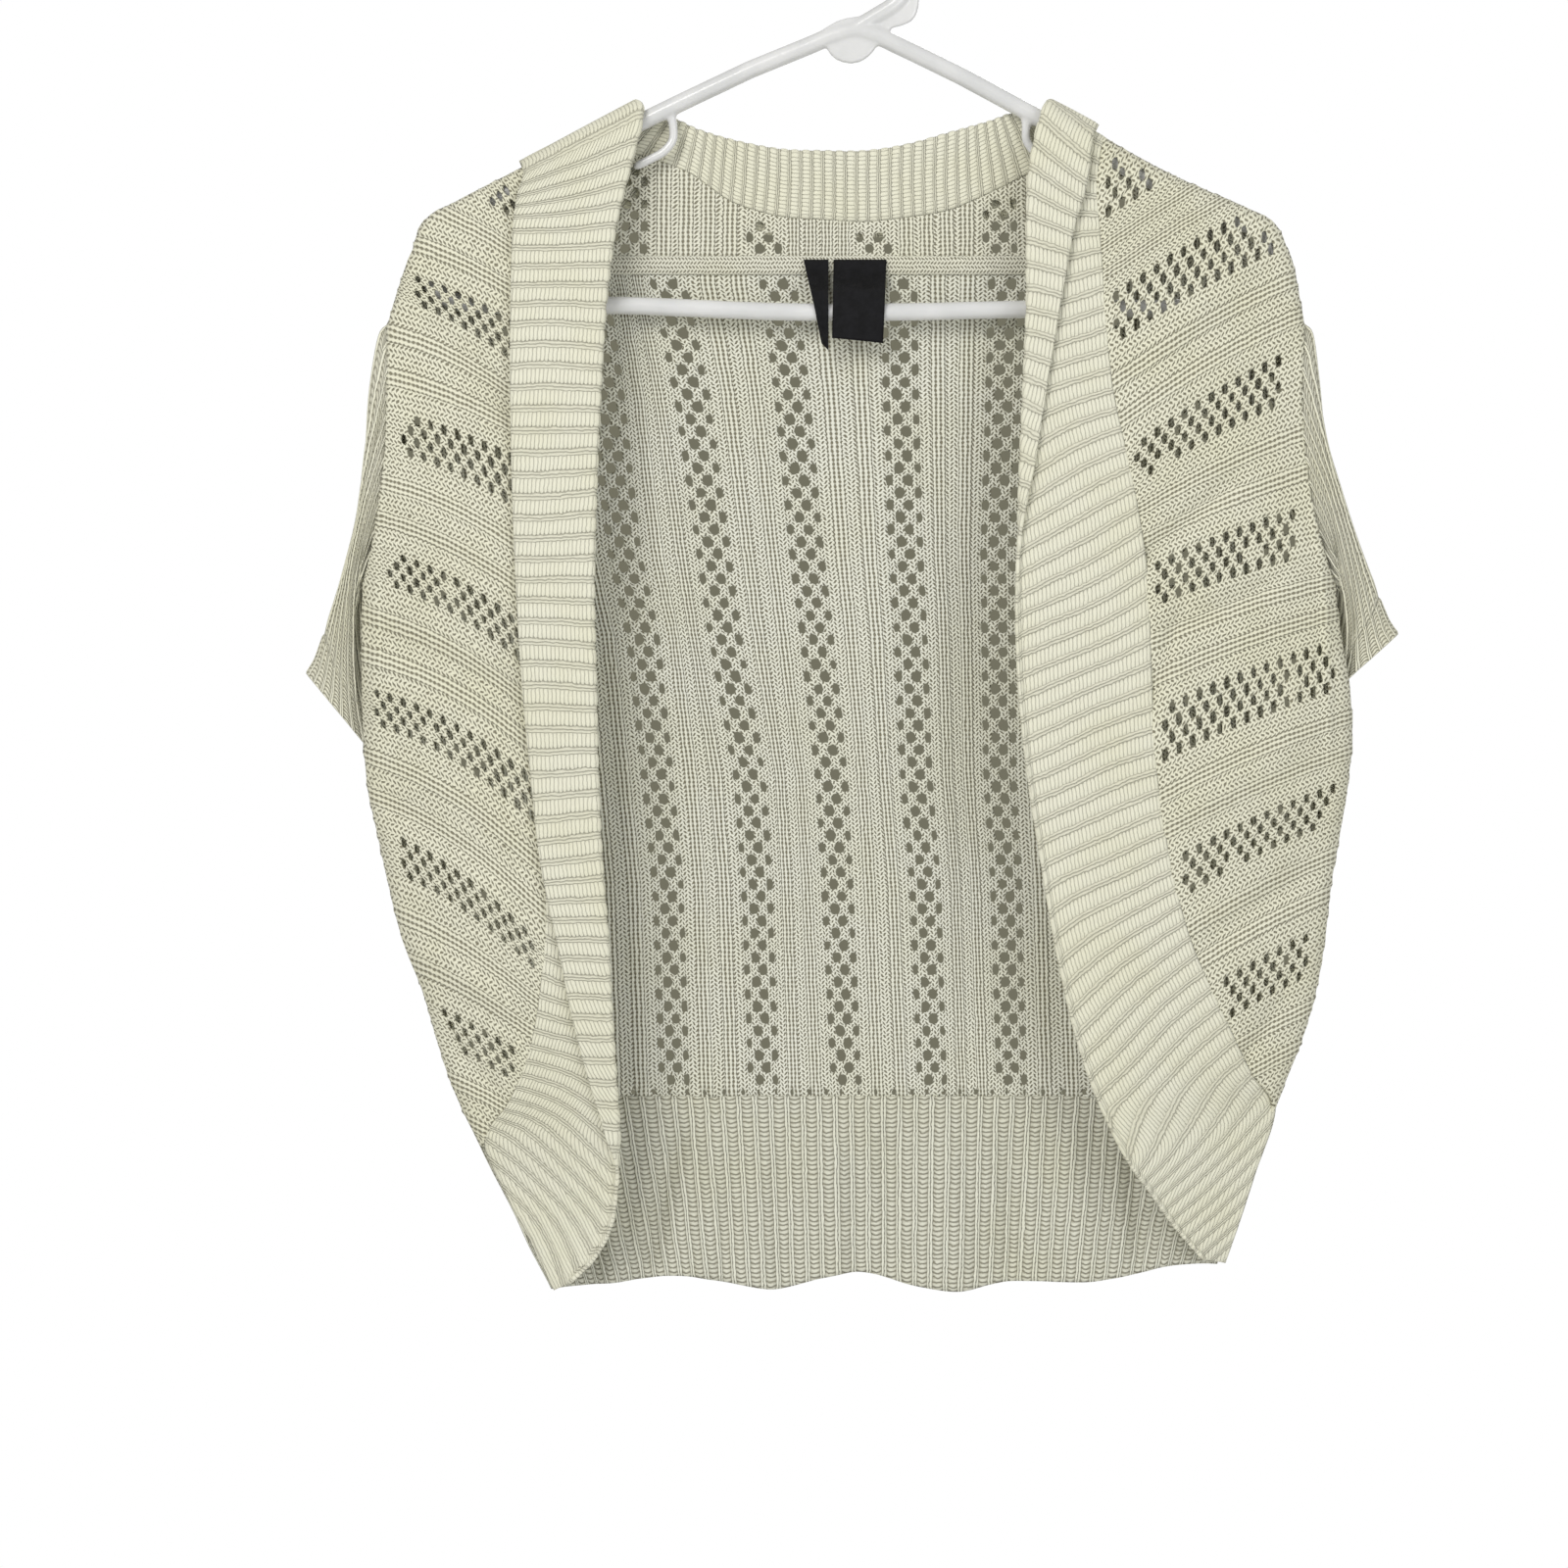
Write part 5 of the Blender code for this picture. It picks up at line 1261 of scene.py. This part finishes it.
def make_sleeve(side):
    gap = -0.004
    rows = [(share, 0.0) for share in (0, 0.09, 0.18, 0.3, 0.45, 0.6, 0.74)] + [(CUFF_FROM, -gap)]
    coarse = sleeve_grid(side, rows)
    nr, nc = 44, 272
    g, qs = dense_ring(coarse, nr, nc, [r[0] for r in rows])
    k = np.arange(nc)
    phase = np.tile(k / nc * 24.0, (nr, 1))
    prof = rib_profile(phase, 0.38, 0.12, 0.6)
    h = 1.15 * (prof - 0.4) * smooth01(np.minimum(np.arange(nr), nr - 1 - np.arange(nr)) / 3.0)[:, None]
    length = np.linalg.norm(np.diff(g, axis=0), axis=2).mean(1).sum()
    # the root is a little flatter than the armhole, so that it stays behind the front's edge
    mid = g[..., 1].mean(1, keepdims=True)
    foot = smooth01((-308.0 - g[..., 2]) / 18.0)
    root = 1 - smooth01(np.arange(nr) / 12.0)[:, None]
    g[..., 1] = mid + (g[..., 1] - mid) * (1 - root * (0.14 + 0.36 * foot))
    uv = np.stack([phase.ravel() * 4, np.repeat(qs, nc) * length / 2.2 / 0.86], 1)
    # zone.y is the rib height, which darkens the grooves: painted shade
    zone = np.stack([phase.ravel(), (0.3 + 0.7 * prof).ravel()], 1)
    ob = wall("sleeve_" + side + "_knit", g.reshape(-1, 3), grid_tris(nr, nc, True), 1.7, uv, zone, RIB_SLEEVE_PAINTED_LIGHT,
              lift=h.ravel(), under=h.ravel(), edge=0.7)
    place(ob, "sleeve_" + side)
    rows = [(CUFF_FROM, gap), (0.90, gap * 0.4), (0.94, 0.0), (1.0, 0.0)]
    coarse = sleeve_grid(side, rows)
    nr, nc = 20, 240
    g, qs = dense_ring(coarse, nr, nc, [r[0] for r in rows])
    k = np.arange(nc)
    phase = np.tile(k / nc * 24.0, (nr, 1))
    prof = rib_profile(phase, 0.45, 0.15, 0.6)
    h = 1.0 * (prof - 0.4)
    uv = np.stack([phase.ravel() * 4, np.repeat(np.arange(nr) / 2.0, nc)], 1)
    # zone.y is the rib height, which darkens the grooves: painted shade
    zone = np.stack([phase.ravel(), (0.3 + 0.7 * prof).ravel()], 1)
    ob = wall("cuff_" + side + "_knit", g.reshape(-1, 3), grid_tris(nr, nc, True), 1.7, uv, zone, RIB_SLEEVE_PAINTED_LIGHT,
              lift=h.ravel(), under=h.ravel(), edge=0.75)
    place(ob, "cuff_" + side)


# ----------------------------------------------------------------------------- labels
def make_label(name, spec, cols, twist, bend):
    coarse = label_grid(spec, cols, twist)
    kr, kc = chord_knots(coarse[:, 0]), np.arange(cols) / (cols - 1)
    nr, nc = 46, 26
    fine = hermite(kr, coarse.reshape(len(coarse), -1), np.linspace(0, kr[-1], nr)).reshape(nr, cols, 3)
    fine = np.stack([hermite(kc, fine[i], np.linspace(0, 1, nc)) for i in range(nr)])
    s, c = np.linspace(0, 1, nr)[:, None], np.linspace(-1, 1, nc)[None]
    fine[..., 1] += -bend * smooth01((s - 0.45) / 0.5) * (1 - c ** 2) - 0.25 * bend * np.sin(s * 9 + c * 2) * smooth01((s - 0.3) / 0.3)
    uv = np.stack([(c * 12 + 0 * s).ravel(), (s * 40 + 0 * c).ravel()], 1)
    ob = wall(name + "_satin", fine.reshape(-1, 3), grid_tris(nr, nc), 0.7, uv, uv, LABEL, facing=(0, -1, 0), edge=0.6)
    place(ob, name)


# ----------------------------------------------------------------------------- hanger
def tube_mesh(line, radius, sides, closed):
    line = np.asarray(line, float)
    n = len(line)
    tan = unit(np.roll(line, -1, 0) - np.roll(line, 1, 0)) if closed else unit(np.gradient(line, axis=0))
    nor = np.stack([-tan[:, 1], tan[:, 0]], 1)
    a = 2 * np.pi * np.arange(sides) / sides
    r = np.broadcast_to(radius, n)
    v = np.empty((n, sides, 3))
    v[..., 0] = line[:, :1] + nor[:, :1] * r[:, None] * np.cos(a)
    v[..., 1] = r[:, None] * np.sin(a)
    v[..., 2] = line[:, 1:] + nor[:, 1:] * r[:, None] * np.cos(a)
    quads = []
    for i in range(n if closed else n - 1):
        for j in range(sides):
            k, m = (j + 1) % sides, (i + 1) % n
            quads.append((i * sides + j, m * sides + j, m * sides + k, i * sides + k))
    faces = quads + ([] if closed else [tuple(range(sides)), tuple((n - 1) * sides + j for j in reversed(range(sides)))])
    return v.reshape(-1, 3) * 0.001, faces


def make_hanger():
    loop = list(smooth_line(ARM_LEFT[1:] + END_LEFT, 2.5))
    loop += list(smooth_line([END_LEFT[-1], (-165, -207.6)] + BAR + [(150, -209.5), END_RIGHT[-1]], 3.0)[1:-1])
    loop += list(smooth_line((ARM_RIGHT[1:] + END_RIGHT)[::-1], 2.5))
    loop += list(smooth_line([(51, -98), (20, -83), (9, -78), (0, -76), (-9, -78.3), (-22, -83.6), (-50, -95)], 2.5)[1:-1])
    hook = smooth_line(HOOK, 2.0)
    taper = np.full(len(hook), TUBE_R - 0.2)
    taper[-3:] = [TUBE_R - 0.4, TUBE_R - 1.0, TUBE_R - 2.2]
    strap_taper = lambda n: np.concatenate([np.full(n - 2, STRAP_HOOK_R), [STRAP_HOOK_R - 0.3, STRAP_HOOK_R - 1.2]])
    sl, sr = smooth_line(STRAP_LEFT, 1.5), smooth_line(STRAP_RIGHT, 1.5)
    verts, faces = [], []
    for v, f in (tube_mesh(loop, TUBE_R, 24, True), tube_mesh(hook, taper, 24, False),
                 tube_mesh(sl, strap_taper(len(sl)), 18, False), tube_mesh(sr, strap_taper(len(sr)), 18, False)):
        base = sum(len(x) for x in verts)
        verts.append(v)
        faces += [tuple(k + base for k in face) for face in f]
    # the moulded web: a rounded tab under the neck, and a thin fin up the stem
    for outline_pts, half in (([(-15.5, -76), (-12, -87), (-5, -91.5), (3, -91), (9.5, -85.5), (13, -77), (6, -70), (-6, -71)], 2.1),
                              ([(-2, -71), (8, -76), (27, -72), (31, -60), (26, -55), (14, -65)], 1.5)):
        ring = np.array(outline_pts, float)
        ring = hermite(np.arange(len(ring) + 1), np.concatenate([ring, ring[:1]]), np.arange(0, len(ring), 0.25))
        n = len(ring)
        base = sum(len(x) for x in verts)
        a = np.stack([ring[:, 0], np.full(n, -half), ring[:, 1]], 1) * 0.001
        b = np.stack([ring[:, 0], np.full(n, half), ring[:, 1]], 1) * 0.001
        verts.append(np.concatenate([a, b]))
        faces += [tuple(base + i for i in range(n)), tuple(base + n + i for i in reversed(range(n)))]
        faces += [(base + (i + 1) % n, base + i, base + n + i, base + n + (i + 1) % n) for i in range(n)]
    me = bpy.data.meshes.new("hanger_draft")
    me.from_pydata(np.concatenate(verts).tolist(), [], faces)
    draft = bpy.data.objects.new("hanger_draft", me)
    bpy.context.scene.collection.objects.link(draft)
    mod = draft.modifiers.new("fuse", "REMESH")
    mod.mode = "VOXEL"
    mod.voxel_size = 0.00085
    mod.use_smooth_shade = True
    soft = draft.modifiers.new("soft", "SMOOTH")
    soft.factor, soft.iterations = 0.5, 5
    bpy.context.view_layer.update()
    final = bpy.data.meshes.new_from_object(draft.evaluated_get(bpy.context.evaluated_depsgraph_get()))
    bpy.data.objects.remove(draft)
    final.name = "hanger_moulded"
    final.materials.clear()
    final.materials.append(PLASTIC)
    final.shade_smooth()
    ob = bpy.data.objects.new("hanger_moulded", final)
    bpy.context.scene.collection.objects.link(ob)
    TRIANGLES["hanger_moulded"] = sum(len(p.vertices) - 2 for p in final.polygons)
    place(ob, "hanger")


make_hanger()
make_back()
make_hem()
make_yoke()
make_front("left")
make_front("right")
make_bands()
make_tape()
make_sleeve("left")
make_sleeve("right")
make_label("label_wide", LABEL_WIDE, 5, 0.0, 0.5)
make_label("label_narrow", LABEL_NARROW, 4, 4.0, 0.6)
print("TRIANGLES", sum(TRIANGLES.values()), TRIANGLES)

# ----------------------------------------------------------------------------- camera, light, floor
scene = bpy.context.scene
scene.view_settings.view_transform = "Standard"
scene.view_settings.look = "None"
CAM = (-0.0338, -2.60, -0.4376)
cam_data = bpy.data.cameras.new("camera")
cam_data.sensor_width = 36.0
cam_data.lens = 36.0 * 2.60 / 0.752
cam_data.clip_end = 60.0
cam = bpy.data.objects.new("camera", cam_data)
cam.location = CAM
cam.rotation_euler = (math.pi / 2, 0, 0)
scene.collection.objects.link(cam)
scene.camera = cam

world = bpy.data.worlds.new("studio")
scene.world = world
world.use_nodes = True
world.node_tree.nodes["Background"].inputs[0].default_value = (0.60, 0.60, 0.585, 1)
world.node_tree.nodes["Background"].inputs[1].default_value = 0.775


def area(name, loc, look, size, watts, color=(1, 1, 1)):
    data = bpy.data.lights.new(name, "AREA")
    data.shape = "RECTANGLE"
    data.size, data.size_y = size
    data.energy = watts
    data.color = color
    ob = bpy.data.objects.new(name, data)
    ob.location = loc
    from mathutils import Vector
    ob.rotation_euler = (Vector(look) - Vector(loc)).to_track_quat("-Z", "Y").to_euler()
    scene.collection.objects.link(ob)


area("key", (-1.15, -2.35, 1.05), (0, 0, -0.38), (1.2, 1.2), 40.0, (1.0, 0.985, 0.95))
area("fill", (1.5, -2.4, -0.35), (0, 0, -0.42), (1.6, 1.6), 17.5, (0.97, 0.985, 1.0))
area("back_light", (0.9, 2.2, 0.8), (0, 0, -0.40), (1.4, 1.4), 16.0)


def plain(name, rgb, rough=0.9):
    m = Nodes(name)
    geo = m.add("ShaderNodeTexCoord").outputs["Object"]
    col = m.mix(m.span(m.noise(geo, 3.0, 3.0), 0.3, 0.7), tuple(c * 0.985 for c in rgb), rgb)
    m.link(col, m.bsdf.inputs["Base Color"])
    m.bsdf.inputs["Roughness"].default_value = rough
    return m.mat


bpy.ops.mesh.primitive_circle_add(vertices=96, radius=3.2, fill_type="NGON", location=(0, 0, -1.45))
floor = bpy.context.object
floor.name = "floor"
floor.data.materials.append(plain("floor_pale", (0.82, 0.82, 0.80)))


def glow(name, rgb, strength):
    m = bpy.data.materials.new(name)
    m.use_nodes = True
    t = m.node_tree
    t.nodes.remove(t.nodes["Principled BSDF"])
    e = t.nodes.new("ShaderNodeEmission")
    e.inputs[0].default_value = (*rgb, 1)
    e.inputs[1].default_value = strength
    t.links.new(e.outputs[0], t.nodes["Material Output"].inputs[0])
    return m


# a pale wall far behind, with a dim glowing field in line with the garment: painted shade, standing
# in for the shadow behind the cloth, which shows only through the eyelets
WALL_Y = 5.0
bpy.ops.mesh.primitive_plane_add(size=1.0, location=(CAM[0], WALL_Y, CAM[2]), rotation=(math.pi / 2, 0, 0))
backdrop = bpy.context.object
backdrop.name = "backdrop"
backdrop.scale = (3.4, 3.4, 1)
backdrop.data.materials.append(glow("backdrop_pale", (1, 1, 1), 1.0))

step = 4.0
gx, gz = np.arange(-236, 240, step), np.arange(-596, -112, step)
xx, zz = np.meshgrid(gx, gz, indexing="ij")
room = inside_by(xx.ravel(), zz.ravel())
fold_x, fold_z = [r[2] for r in COLLAR], [r[3] for r in COLLAR]
top_z = np.interp(xx.ravel(), fold_x, fold_z, left=0, right=0)
room = np.minimum(room, np.where(top_z < 0, top_z - zz.ravel(), 99.0))
ok = (room > 3.0).reshape(xx.shape)
cells = ok[:-1, :-1] & ok[1:, :-1] & ok[:-1, 1:] & ok[1:, 1:]
far = (WALL_Y - 0.02 - CAM[1]) / -CAM[1]
px, pz = CAM[0] + (xx * 0.001 - CAM[0]) * far, CAM[2] + (zz * 0.001 - CAM[2]) * far
pv = np.stack([px, np.full_like(px, WALL_Y - 0.02), pz], 2).reshape(-1, 3)
ci, cj = np.nonzero(cells)
nz = len(gz)
quads = np.stack([ci * nz + cj, (ci + 1) * nz + cj, (ci + 1) * nz + cj + 1, ci * nz + cj + 1], 1)
me = bpy.data.meshes.new("backdrop_painted_shade")
me.from_pydata(pv.tolist(), [], quads.tolist())
painted_shade_field = bpy.data.objects.new("backdrop_painted_shade", me)
scene.collection.objects.link(painted_shade_field)
me.materials.append(glow("painted_shade_glow", (0.172, 0.166, 0.120), 1.0))
